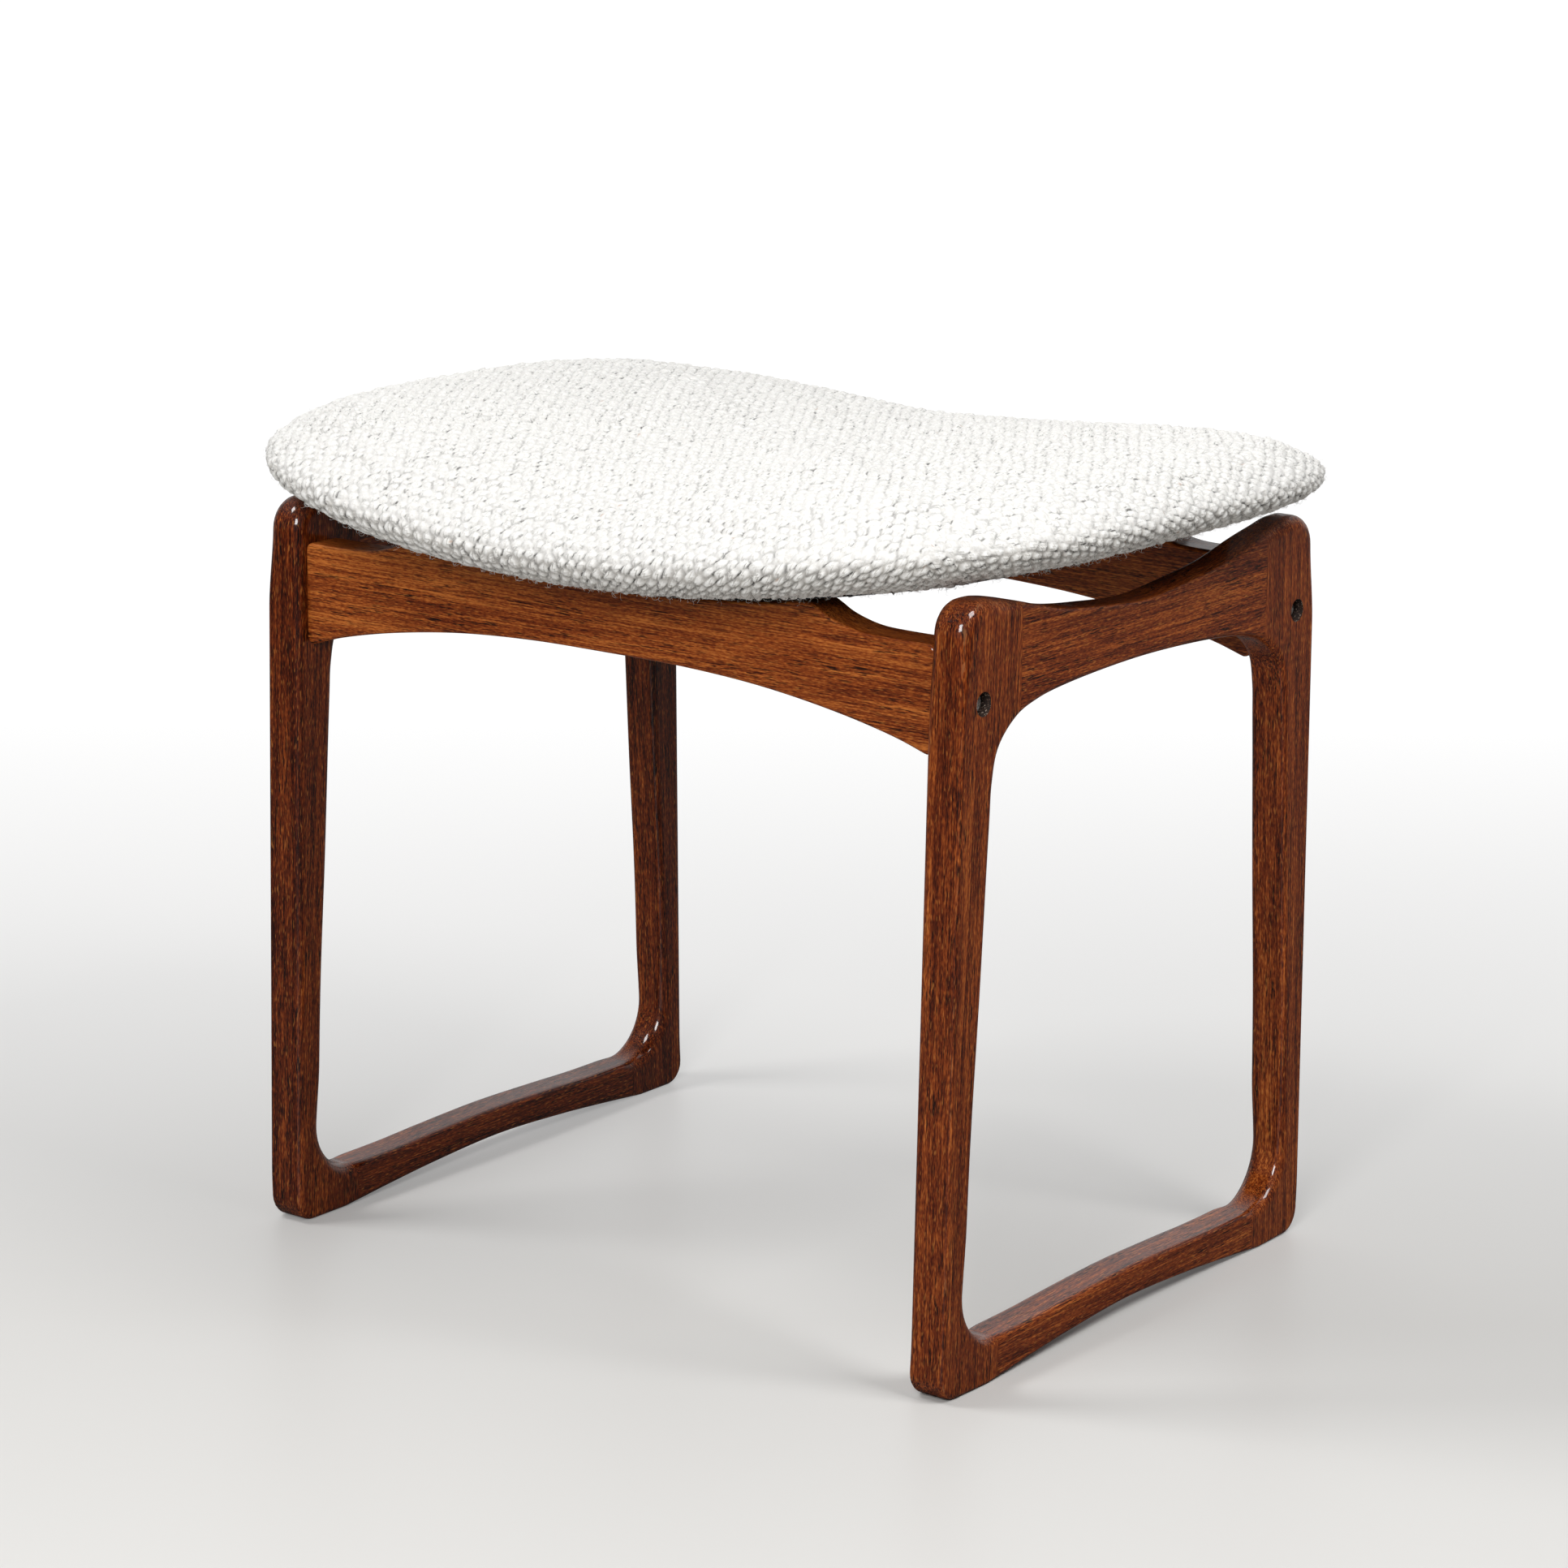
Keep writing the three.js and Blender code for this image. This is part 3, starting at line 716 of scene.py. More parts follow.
def seam_tools(side, end):
    """The dowel holes across the two joints at one end of a side frame."""
    x = side * frame_x
    spread = RUNNER_DOWEL["spread"]
    places = [(RAIL_DOWEL, TOP_SEAM, (x, height)) for height in RAIL_DOWEL["heights"]]
    places += [(RUNNER_DOWEL, RUNNER_SEAM, (x + way * spread, RUNNER_DOWEL["height"])) for way in (-1, 1)]
    return [
        rod(1, end * seam - dowel["reach"], end * seam + dowel["reach"], dowel["radius"], at, 24)
        for dowel, seam, at in places
    ]


TONES = {"leg_rear": -0.01, "top_rail": 0.02, "leg_front": 0.0, "runner": -0.02}
# Painted shade: the left frame's walnut is darkened, as it gets less light than the right.
SIDE_PAINTED_SHADE = {"left": -0.09, "right": 0.0}
SLANTS = {"leg_rear": -2.0, "top_rail": 0.0, "leg_front": 2.5, "runner": 0.0}


def line_bore(piece, side, end, material):
    """Gives the faces inside a leg's counterbore their own material, which paints the shade inside the hole.
    """
    piece.data.materials.append(material)
    slot = len(piece.data.materials) - 1
    axis = np.array([end * STRETCHER_Y, BOLT_Z])
    for face in piece.data.polygons:
        x, y, z = face.center / MM
        inside = counterbore_x - 0.1 < side * x < FRAME_WIDTH / 2 - 0.1
        if inside and math.hypot(*(np.array([y, z]) - axis)) < COUNTERBORE["radius"] + 0.1:
            face.material_index = slot


def make_side_frame(side_name, painted_bore_shade):
    side = SIDES[side_name]
    outer_share_in, outer_share_out = arris_shares()
    wear = np.concatenate([np.maximum(outer_share_out, 0.35 * outer_share_in)] * 2)
    half = len(wear) // 2
    wear[half:] = wear[half:][::-1] * 0.8
    for index, (name, sections) in enumerate(frame_pieces()):
        stations, around, _ = sections.shape
        # Face A looks at the seat, so the height over the thickness runs against the side's sign.
        points = np.concatenate([side * (frame_x - sections[..., 2:]), sections[..., :2]], axis=2)
        is_leg = name.startswith("leg")
        node = f"{name}_{side_name}"
        seed = 3 * index + 17 * (side > 0) + 1
        # Each piece's own lightness, plus painted shade that darkens the left frame.
        tone_and_painted_shade = TONES[name] + SIDE_PAINTED_SHADE[side_name]
        wood = walnut("walnut_" + node, "z" if is_leg else "y", seed, SLANTS[name], tone_and_painted_shade)
        faces = tube_faces(numbered(stations, around))
        piece = new_piece(node + "_wood", points.reshape(-1, 3), faces, wood, [node])
        point_values(piece, "wear", np.tile(wear, stations))
        if is_leg:
            end = ENDS[name[4:]]
            cut(piece, leg_tools(side, end))
            line_bore(piece, side, end, painted_bore_shade)
        else:
            cut(piece, seam_tools(side, -1) + seam_tools(side, 1))
        sharpen(piece)


# ---- The seat's surfaces ----


def squared(a, b):
    """The size of (a, b) in the sense in which a squared ellipse is round."""
    return (np.abs(a) ** SQUARENESS + np.abs(b) ** SQUARENESS) ** (1 / SQUARENESS)


def half_depth(u):
    """The seat's half depth, which grows a little towards its ends. u is a share of the half width."""
    return HALF_DEPTH * (1 + END_FLARE * u * u)


def seat_reach(x, y):
    u = x / HALF_WIDTH
    return squared(u, y / half_depth(u))


def seat_middle(x, y):
    u = x / HALF_WIDTH
    u2, w2 = u * u, (y / half_depth(u)) ** 2
    return CENTRE_Z + u2 * (RISE + RISE_EASE * u2 + CORNER_LIFT * w2) + EDGE_FALL * w2


def inset_scale(inset):
    return 1 - inset / MEAN_RADIUS


def underside(reach, inset=0.0):
    share = np.minimum(1, reach / inset_scale(inset))
    return (inset - BELLY) * np.sqrt(1 - share**BELLY_POWER)


def underside_z(x, y):
    return seat_middle(x, y) + underside(seat_reach(x, y))


def top_profile(inset=0.0, steps=600):
    angle = np.linspace(0, math.pi / 2, steps)
    return np.column_stack([
        inset_scale(inset) * np.sin(angle) ** (2 / CROWN_POWER),
        (CROWN - inset) * np.cos(angle),
    ])


def under_profile(inset, to_reach, steps=300):
    reach = inset_scale(inset) * (1 - np.linspace(0, 1, steps) ** 2 * (1 - to_reach / inset_scale(inset)))
    return np.column_stack([reach, underside(reach, inset)])


def even_profile(profile, steps):
    """The profile's points at equal steps along it."""
    steps_out, steps_up = np.diff(profile, axis=0).T
    along = np.concatenate([[0], np.cumsum(np.hypot(steps_out * MEAN_RADIUS, steps_up))])
    want = np.linspace(0, along[-1], steps + 1)
    return np.column_stack([np.interp(want, along, profile[:, i]) for i in (0, 1)]), want


def square_grid(half_steps):
    """Ring numbers and plan directions of a square grid, whose rings become squared ellipses."""
    across = np.arange(-half_steps, half_steps + 1)
    i, j = np.meshgrid(across, across, indexing="ij")
    ring = np.maximum(np.abs(i), np.abs(j))
    size = np.where(ring == 0, 1, squared(i, j))
    return ring, i / size, j / size


def seat_skin(profile, half_steps):
    """Points of a skin over the seat's plan. profile holds reach and height for each ring of the grid."""
    ring, toward_x, toward_y = square_grid(half_steps)
    reach, height = profile[ring].transpose(2, 0, 1)
    u = reach * toward_x
    x, y = HALF_WIDTH * u, half_depth(u) * reach * toward_y
    return np.stack([x, y, height + seat_middle(x, y)], axis=-1)


def grid_normals(points):
    along_i = np.gradient(points, axis=0)
    along_j = np.gradient(points, axis=1)
    normal = np.cross(along_i, along_j)
    return normal / np.maximum(np.linalg.norm(normal, axis=-1, keepdims=True), 1e-9)


def border(numbers):
    """The numbers round the edge of a square grid, in order."""
    sides = [numbers[:-1, 0], numbers[-1, :-1], numbers[:0:-1, -1], numbers[0, :0:-1]]
    return np.concatenate(sides).tolist()


def two_skins(upper, lower):
    """Points and faces of a closed pad between two skins on the same square grid."""
    size = len(upper)
    numbers = numbered(size, size)
    below = size * size
    faces = grid_faces(numbers) + grid_faces(numbers + below, flip=True)
    edge = border(numbers)
    for cell, after in zip(edge, edge[1:] + edge[:1]):
        faces.append((after, cell, cell + below, after + below))
    return np.vstack([upper.reshape(-1, 3), lower.reshape(-1, 3)]), faces


# ---- Seat ----

COVER_STEPS = 240  # steps of the fine grid from the seat's centre to the cover's hem
COARSE = 8  # the inner skin and the simulated skin use every eighth step
SWELL = 4.0  # how far the pressure of the padding pushes the cloth out
SHRINK_LIMIT = 0.2  # the cloth can't sink into the foam
SWELL_LIMIT = 2.0
CLOTH = {
    "vertex_group_mass": "pinned",
    "use_pressure": True,
    "uniform_pressure_force": 4.0,
    "tension_stiffness": 40,
    "compression_stiffness": 40,
    "bending_stiffness": 2.0,
    "quality": 6,
}


def cover_profile(inset=0.0):
    return np.vstack([top_profile(inset), under_profile(inset, FLAP_REACH)[1:]])


def pressed_cover(coarse_steps):
    """How far each point of the coarse skin lies from the even shape once the padding has filled it."""
    profile, _ = even_profile(cover_profile(), coarse_steps)
    target = seat_skin(profile, coarse_steps)
    normals = grid_normals(target)
    ring = square_grid(coarse_steps)[0]
    free = 1 - ease(ring / coarse_steps, 0.86, 0.97)
    start = target - normals * (SWELL * free)[..., None]
    size = 2 * coarse_steps + 1
    mesh = bpy.data.meshes.new("press")
    mesh.from_pydata((start.reshape(-1, 3) * MM).tolist(), [], grid_faces(numbered(size, size)))
    press = linked("press", mesh)
    pinned = press.vertex_groups.new(name="pinned")
    for index, value in enumerate(free.ravel()):
        pinned.add([index], float(1 - value), "REPLACE")
    cloth = press.modifiers.new("cloth", "CLOTH")
    for name, value in CLOTH.items():
        setattr(cloth.settings, name, value)
    cloth.settings.effector_weights.gravity = 0.0
    cloth.point_cache.frame_start = 1
    cloth.point_cache.frame_end = 20
    for number in range(1, 21):
        bpy.context.scene.frame_set(number)
    shown = press.evaluated_get(bpy.context.evaluated_depsgraph_get())
    place = np.empty(size * size * 3)
    shown.data.vertices.foreach_get("co", place)
    bpy.context.scene.frame_set(1)
    bpy.data.objects.remove(press)
    moved = place.reshape(size, size, 3) / MM - start
    length = np.linalg.norm(moved, axis=-1, keepdims=True)
    moved *= np.minimum(1, 2 * SWELL / np.maximum(length, 1e-9))
    offset = np.einsum("ijk,ijk->ij", start + moved - target, normals)
    even = offset[free > 0.99].mean()
    return np.clip(offset - even, -SHRINK_LIMIT, SWELL_LIMIT) * free


def enlarge(values, steps):
    """A square array with each step split into a number of steps, by smooth interpolation."""
    last = len(values) - 1
    places = np.arange(last * steps + 1) / steps
    low = np.minimum(places.astype(int), last - 1)
    t = (places - low)[:, None]

    def along(rows):
        a, b, c, d = (rows[np.clip(low + k, 0, last)] for k in (-1, 0, 1, 2))
        return b + 0.5 * t * (c - a + t * (2 * a - 5 * b + 4 * c - d + t * (3 * (b - c) + d - a)))

    return along(along(values).T).T


def hashed(i, j, salt):
    """A steady random share from 0 to 1 for whole numbers i and j."""
    value = np.sin(i * 127.1 + j * 311.7 + salt * 74.7) * 43758.5453
    return value - np.floor(value)


def value_noise(x, y, salt):
    i, j = np.floor(x), np.floor(y)
    s, t = x - i, y - j
    s, t = s * s * (3 - 2 * s), t * t * (3 - 2 * t)
    low = hashed(i, j, salt) * (1 - s) + hashed(i + 1, j, salt) * s
    high = hashed(i, j + 1, salt) * (1 - s) + hashed(i + 1, j + 1, salt) * s
    return low * (1 - t) + high * t


LOOP_PITCH_X = 7.0
LOOP_PITCH_Y = 5.3
LOOP_HEIGHT = 2.8
LOOP_LEAN = 0.3


def loops(a, b):
    """The wool's loops at cloth places: their height over the cloth, the signed way to the nearest crease,
    which is negative on one side of it, and how much painted shadow that crease gets."""
    a = a + 2.4 * (value_noise(a / 21, b / 21, 1) - 0.5) + 1.0 * (value_noise(a / 6, b / 6, 2) - 0.5)
    b = b + 2.4 * (value_noise(a / 19, b / 23, 3) - 0.5) + 1.0 * (value_noise(a / 5, b / 7, 4) - 0.5)
    row = np.round(b / LOOP_PITCH_Y)
    first = np.full((4, *a.shape), 9.0)
    second = np.full((4, *a.shape), 9.0)
    for row_step in (-2, -1, 0, 1, 2):
        j = row + row_step
        shift = 0.5 * np.mod(j, 2)
        column = np.round(a / LOOP_PITCH_X - shift)
        for column_step in (-1, 0, 1):
            i = column + column_step
            centre_a = (i + shift + 0.30 * (hashed(i, j, 5) - 0.5)) * LOOP_PITCH_X
            centre_b = (j + 0.40 * (hashed(i, j, 6) - 0.5)) * LOOP_PITCH_Y
            da = a - centre_a
            db = b - centre_b - LOOP_LEAN * da
            distance = np.hypot(da / 3.6, db / 3.9) * (0.92 + 0.2 * hashed(i, j, 8))
            loop = np.stack([distance, centre_a, centre_b, hashed(i, j, 9)])
            closer = distance < first[0]
            between = ~closer & (distance < second[0])
            second = np.where(closer, first, np.where(between, loop, second))
            first = np.where(closer, loop, first)
    away = second[0] - first[0]
    crease = np.clip(away / 0.6, 0, 1)
    dome = np.sqrt(np.clip(1 - 0.55 * first[0] ** 2, 0, 1))
    height = dome * (0.25 + 0.75 * crease**0.5) * (0.78 + 0.44 * first[3])
    way = second[1:3] - first[1:3]
    signed = away * np.where(way[0] > 0, 1, -1)
    upright = np.clip(1.8 * np.abs(way[0]) / np.maximum(np.hypot(*way), 1e-9) - 0.8, 0, 1)
    rising = np.where(way[0] * way[1] < 0, 0.45, 0.05)
    chance = hashed(np.round(2 * (first[1] + second[1])), np.round(2 * (first[2] + second[2])), 13)
    painted_crease_shade = np.maximum(upright, rising) * np.clip(2.2 * chance - 0.35, 0, 1) * np.clip(1.9 - 1.5 * away, 0, 1)
    return height, signed, painted_crease_shade


def cloth_places(along, half_steps):
    """Places in the flat cloth of the grid's points, by their length along the seat's profile."""
    ring, toward_x, toward_y = square_grid(half_steps)
    plan_x = HALF_WIDTH * toward_x
    plan_y = HALF_DEPTH * toward_y
    size = np.maximum(np.hypot(plan_x, plan_y), 1e-9)
    length = along[ring] * np.where(ring == 0, 0, 1) * size / MEAN_RADIUS
    return length * plan_x / size, length * plan_y / size


def make_cover(material):
    """The cover, with its loops raised in the mesh. Returns the smooth skin under them and its normals."""
    profile, along = even_profile(cover_profile(), COVER_STEPS)
    skin = seat_skin(profile, COVER_STEPS)
    size = 2 * COVER_STEPS + 1
    skin += grid_normals(skin) * enlarge(pressed_cover(COVER_STEPS // COARSE), COARSE)[..., None]
    normals = grid_normals(skin)
    inner = (skin - normals * INNER_SKIN)[::COARSE, ::COARSE]

    a, b = cloth_places(along, COVER_STEPS)
    height, signed, painted_crease_shade = loops(a, b)
    # The loops are pressed flat under the seat.
    under = ease(square_grid(COVER_STEPS)[0] / COVER_STEPS, 0.915, 0.945)
    lift = LOOP_HEIGHT * ((height - 0.85) * (1 - under) + 0.4 * (height - 1.25) * under)
    outer = skin + normals * lift[..., None]

    outer_numbers = numbered(size, size)
    inner_numbers = numbered(len(inner), len(inner), size * size)
    faces = grid_faces(outer_numbers) + grid_faces(inner_numbers, flip=True)
    outer_edge, inner_edge = border(outer_numbers), border(inner_numbers)
    for k, corner in enumerate(inner_edge):
        stretch = [outer_edge[(k * COARSE + n) % len(outer_edge)] for n in range(COARSE + 1)]
        faces.append([*stretch[::-1], corner, inner_edge[(k + 1) % len(inner_edge)]])
    points = np.vstack([outer.reshape(-1, 3), inner.reshape(-1, 3)])
    cover = new_piece("seat_cover_boucle", points, faces, material, ["seat_cover"])

    # Painted crease shadow, stronger where the cover faces sideways or down (low) and patchy (sparse).
    low = np.clip(1.12 - normals[..., 2], 0.36, 1.0)
    sparse = value_noise(a / 7, b / 7, 11)
    shown = painted_crease_shade * np.clip(1.6 * sparse + 1.6 * low - 0.35, 0, 1) * (0.75 + 0.25 * low)
    tint = (value_noise(a / 2.1, b / 1.4, 12) > 0.985) * 0.7
    for name, values in (("signed", signed), ("painted_crease_shade", shown), ("tint", tint), ("low", low)):
        point_values(cover, name, np.concatenate([values.ravel(), np.zeros(inner_numbers.size)]))
    return skin, normals


FIBRE_COUNT = 4200
FIBRE_STEPS = 7
FIBRE_RADIUS = 0.085


def unit(vector):
    return vector / max(np.linalg.norm(vector), 1e-9)


def make_fibres(skin, normals, material):
    """Loose curly fibres that stand out of the loops, most of them round the rim."""
    random = np.random.default_rng(20)
    size = skin.shape[0]
    middle = (size - 1) // 2
    ring = square_grid(middle)[0] / middle
    weight = 0.12 + 1.0 * ease(ring, 0.62, 0.86) * (1 - ease(ring, 0.93, 0.99))
    chosen = random.choice(size * size, FIBRE_COUNT, p=(weight / weight.sum()).ravel())
    corners = circle(1, 3)
    points, faces = [], []
    for root, normal in zip(skin.reshape(-1, 3)[chosen], normals.reshape(-1, 3)[chosen]):
        faces += tube_faces(numbered(FIBRE_STEPS + 1, 3, len(points)))
        way = unit(normal * 0.5 + random.normal(0, 0.7, 3))
        curl = unit(random.normal(0, 1, 3))
        length = random.uniform(2.5, 6.0)
        turn = random.uniform(2.5, 6.0) / FIBRE_STEPS
        place = root + normal * 0.5
        for step in range(FIBRE_STEPS + 1):
            thin = FIBRE_RADIUS * (1 - 0.6 * step / FIBRE_STEPS)
            side = unit(np.cross(way, curl))
            points.extend(place + thin * corners @ (side, np.cross(way, side)))
            way = unit(way + turn * side)
            place = place + way * length / FIBRE_STEPS
    new_piece("seat_cover_loose_fibres", points, faces, material)


def make_foam(material):
    """The padding between the shell and the cover, with its hollow underside on the shell."""
    steps = 36
    edge = SHELL_REACH + 0.004
    outside = np.vstack([top_profile(FOAM_INSET), under_profile(FOAM_INSET, edge)[1:]])
    top, _ = even_profile(outside, steps)
    reach = edge * np.arange(steps + 1) / steps
    bottom = underside(reach, COVER_THICKNESS + PLAY) + SHELL_THICKNESS + SHELL_CLEARANCE
    points, faces = two_skins(seat_skin(top, steps), seat_skin(np.column_stack([reach, bottom]), steps))
    pad = new_piece("seat_foam_pad", points, faces, material, ["seat_foam"])
    sharpen(pad, 40)


def dust_cover_z(x, y):
    """The cloth lies on the stretchers and sags a little elsewhere."""
    rest = np.exp(-(((np.abs(y) - STRETCHER_Y) / 26) ** 4)) * (1 - ease(np.abs(x), 150, 190))
    reach = seat_reach(x, y)
    sag = 1.6 * (1 - ease(reach, 0.45, DUST_REACH)) * (1 - rest)
    angle = np.arctan2(y, x)
    pleats = 0.2 * ease(reach, 0.62, 0.84) * np.abs(np.sin(26 * angle)) * (1 - rest)
    return underside_z(x, y) - 0.3 - sag - pleats


def make_dust_cover(material):
    steps = 90
    reach = DUST_REACH * np.arange(steps + 1) / steps
    skin = seat_skin(np.column_stack([reach, reach * 0]), steps)
    x, y = skin[..., 0], skin[..., 1]
    upper = np.stack([x, y, dust_cover_z(x, y)], axis=-1)
    points, faces = two_skins(upper, upper - (0, 0, DUST_THICKNESS))
    sheet = new_piece("dust_cover_cloth", points, faces, material, ["dust_cover"])
    sharpen(sheet, 50)
    return sheet


STAPLE_COUNT = 46
STAPLE_REACH = DUST_REACH - 0.035


def make_staples(material):
    """Staple crowns along the dust cover's edge."""
    crown, crown_faces = block((-5, -0.6, -0.55), (5, 0.6, 0.1))
    points, faces = [], []
    for k in range(STAPLE_COUNT):
        angle = 2 * math.pi * (k + 0.5) / STAPLE_COUNT
        toward = np.array([math.cos(angle), math.sin(angle)])
        u, w = STAPLE_REACH * toward / squared(*toward)
        x, y = HALF_WIDTH * u, half_depth(u) * w
        turn = Matrix.Rotation(math.atan2(y, x) + math.pi / 2 + 0.12 * math.sin(7.0 * k), 3, "Z")
        tilt = Vector(surface_normal(x, y)).to_track_quat("Z", "Y").to_matrix()
        faces += [[len(points) + index for index in face] for face in crown_faces]
        points.extend(stand(crown, tilt @ turn, (x, y, dust_cover_z(x, y) - DUST_THICKNESS)))
    new_piece("dust_cover_staples", points, faces, material, smooth=False)


def surface_normal(x, y, step=2.0):
    rise_x = underside_z(x + step, y) - underside_z(x - step, y)
    rise_y = underside_z(x, y + step) - underside_z(x, y - step)
    return (-rise_x, -rise_y, 2 * step)


# ---- Stretchers ----


def pad_z(x):
    """The top of a stretcher's raised middle, just under the seat."""
    return min(underside_z(x, STRETCHER_Y + way * HALF) for way in (-1, 1)) - 1.4


def stretcher_outline():
    end = inner_face_x - 0.12
    foot_z = 327
    under = [(0, 350.1), (52, 349.6), (102, 346.4), (151, 339.5), (185, 332.2)]
    foot = arc(end - STRETCHER_CORNER, foot_z + STRETCHER_CORNER, STRETCHER_CORNER, -108, 0, 12)
    shoulder = arc(end - STRETCHER_CORNER, SHOULDER_Z - STRETCHER_CORNER, STRETCHER_CORNER, 0, 90, 12)
    rise = [tuple(shoulder[-1]), (176, SHOULDER_Z), (162, 382.8), (152, 384.7), (142, 388), (135.6, 391.4)]
    pad = [(x, pad_z(x)) for x in (PAD_HALF_LENGTH, 104, 78, 52, 26, 0)]
    half = np.vstack([
        spline([*under, tuple(foot[0])], mirrored(under[1]), tuple(foot[1]))[:-1],
        foot,
        shoulder[:-1],
        spline(rise, (end, SHOULDER_Z), pad[0])[:-1],
        spline([rise[-1], *pad], rise[-2], mirrored(pad[-2])),
    ])
    return Loop(closed_loop(half))


def stretcher_tools(end):
    """Holes for the bolts, dowels, nuts and screws."""
    y = end * STRETCHER_Y
    nut_floor = y + end * (BARREL_NUT["length"] / 2 + PLAY)
    head_top = SCREW_HEAD_Z + SEAT_SCREW["head_height"] + PLAY
    dowel_at = (y, STRETCHER_DOWEL["height"])
    tools = []
    for side in (-1, 1):
        outside = side * (inner_face_x + 5)
        bolt_tip = side * (bolt_head_x - BOLT["length"] - 2)
        dowel_tip = side * (inner_face_x - STRETCHER_DOWEL["reach"])
        screw_at = (side * SCREW_X, y)
        tools += [
            rod(0, outside, bolt_tip, BOLT["radius"] + PLAY, (y, BOLT_Z), 32),
            rod(0, outside, dowel_tip, STRETCHER_DOWEL["radius"], dowel_at, 32),
            rod(1, nut_floor, y - end * STOCK, BARREL_NUT["radius"] + PLAY, (side * nut_x, BOLT_Z)),
            rod(2, 300, 450, SEAT_SCREW["radius"] + PLAY, screw_at, 32),
            rod(2, 300, head_top, SEAT_SCREW["head_radius"] + PLAY, screw_at),
        ]
    return tools


STRETCHER_TONE = 0.10


def make_stretcher(end_name):
    end = ENDS[end_name]
    loop = stretcher_outline()
    count = 620
    lengths = np.arange(count) * loop.total / count
    normals = loop.normals(lengths, 0.8)
    radii = np.full(count, 1.8)
    surface = edge_surface(loop.at(lengths), normals, normals, radii, radii)
    # Face A looks outwards from the seat.
    place = np.stack([surface[..., 0], end * (STRETCHER_Y + surface[..., 2]), surface[..., 1]], axis=-1)
    faces = tube_faces(numbered(count, surface.shape[1]).T)
    node = f"stretcher_{end_name}"
    wood = walnut("walnut_" + node, "x", 41 + end, 0.0, STRETCHER_TONE)
    piece = new_piece(node + "_wood", place.reshape(-1, 3), faces, wood, [node])
    point_values(piece, "wear", np.tile(0.5 * np.maximum(*arris_shares()), count))
    cut(piece, stretcher_tools(end))
    sharpen(piece)


# ---- Hardware ----


def lathe(profile, facets=48):
    """A solid turned about Z from (radius, height) pairs that start and end on the axis."""
    rings = [np.insert(circle(radius, facets), 2, height, axis=1) for radius, height in profile[1:-1]]
    points = np.vstack([(0, 0, profile[0][1]), *rings, (0, 0, profile[-1][1])])
    numbers = wrapped(numbered(len(rings), facets, 1), 1)
    faces = grid_faces(numbers)
    last = len(points) - 1
    for k in range(facets):
        faces.append((0, int(numbers[0, k]), int(numbers[0, k + 1])))
        faces.append((last, int(numbers[-1, k + 1]), int(numbers[-1, k])))
    return points, faces


def ring_body(outer, bore, thickness, chamfer=0.25, facets=48):
    """A flat ring about Z, closed on itself."""
    rim = [(outer - chamfer, 0), (outer, chamfer), (outer, thickness - chamfer), (outer - chamfer, thickness)]
    section = [(bore, 0), *rim, (bore, thickness)]
    points = np.stack([np.insert(circle(radius, facets), 2, z, axis=1) for radius, z in section], axis=1)
    numbers = wrapped(wrapped(numbered(facets, len(section)), 0), 1)
    return points.reshape(-1, 3), grid_faces(numbers)


def fastener_profile(size, length):
    head, tall, shank = size["head_radius"], size["head_height"], size["radius"]
    profile = [(0, -length), (shank - 0.6, -length), (shank, 0.6 - length)]
    threads = int((length - 6) * 0.55)
    for k in range(threads):
        z = 1.2 - length + k
        profile += [(shank, z), (shank - 0.35, z + 0.5)]
    profile += [(shank, 0), (head, 0), (head, tall - 1.2), (head - 0.25, tall - 0.6)]
    return profile + [(head - 0.8, tall - 0.15), (head - 1.6, tall), (0, tall)]


def stand(points, turn, place):
    return np.asarray(points) @ np.array(turn).T + place


def slot_tool(width, half_length, floor, turn, place):
    """A screwdriver slot cut from its floor up through the top of a head."""
    points, faces = block((-width / 2, -half_length, floor), (width / 2, half_length, floor + 8))
    return stand(points, turn, place), faces


def hardware(node, shape, turn, place, material, tools=(), angle=32):
    """A turned steel part. shape holds its points and faces about Z."""
    points, faces = shape
    piece = new_piece(node + "_turned", stand(points, turn, place), faces, material, [node])
    cut(piece, tools)
    sharpen(piece, angle)


def fastener(node, size, length, turn, place, material):
    slot = slot_tool(size["slot"], 12, size["head_height"] - 1.6, turn, place)
    hardware(node, lathe(fastener_profile(size, length)), turn, place, material, [slot], 40)


def nut_profile():
    half = BARREL_NUT["length"] / 2
    radius = BARREL_NUT["radius"]
    lower = [(0, -half), (radius - 0.5, -half), (radius, 0.5 - half)]
    return lower + [(radius, -height) for radius, height in lower[::-1]]


def seat_screw_length():
    """From under the head to the shell's upper face."""
    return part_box("seat_screw_front_left")[1].z / MM - SCREW_HEAD_Z - SEAT_SCREW["head_height"]


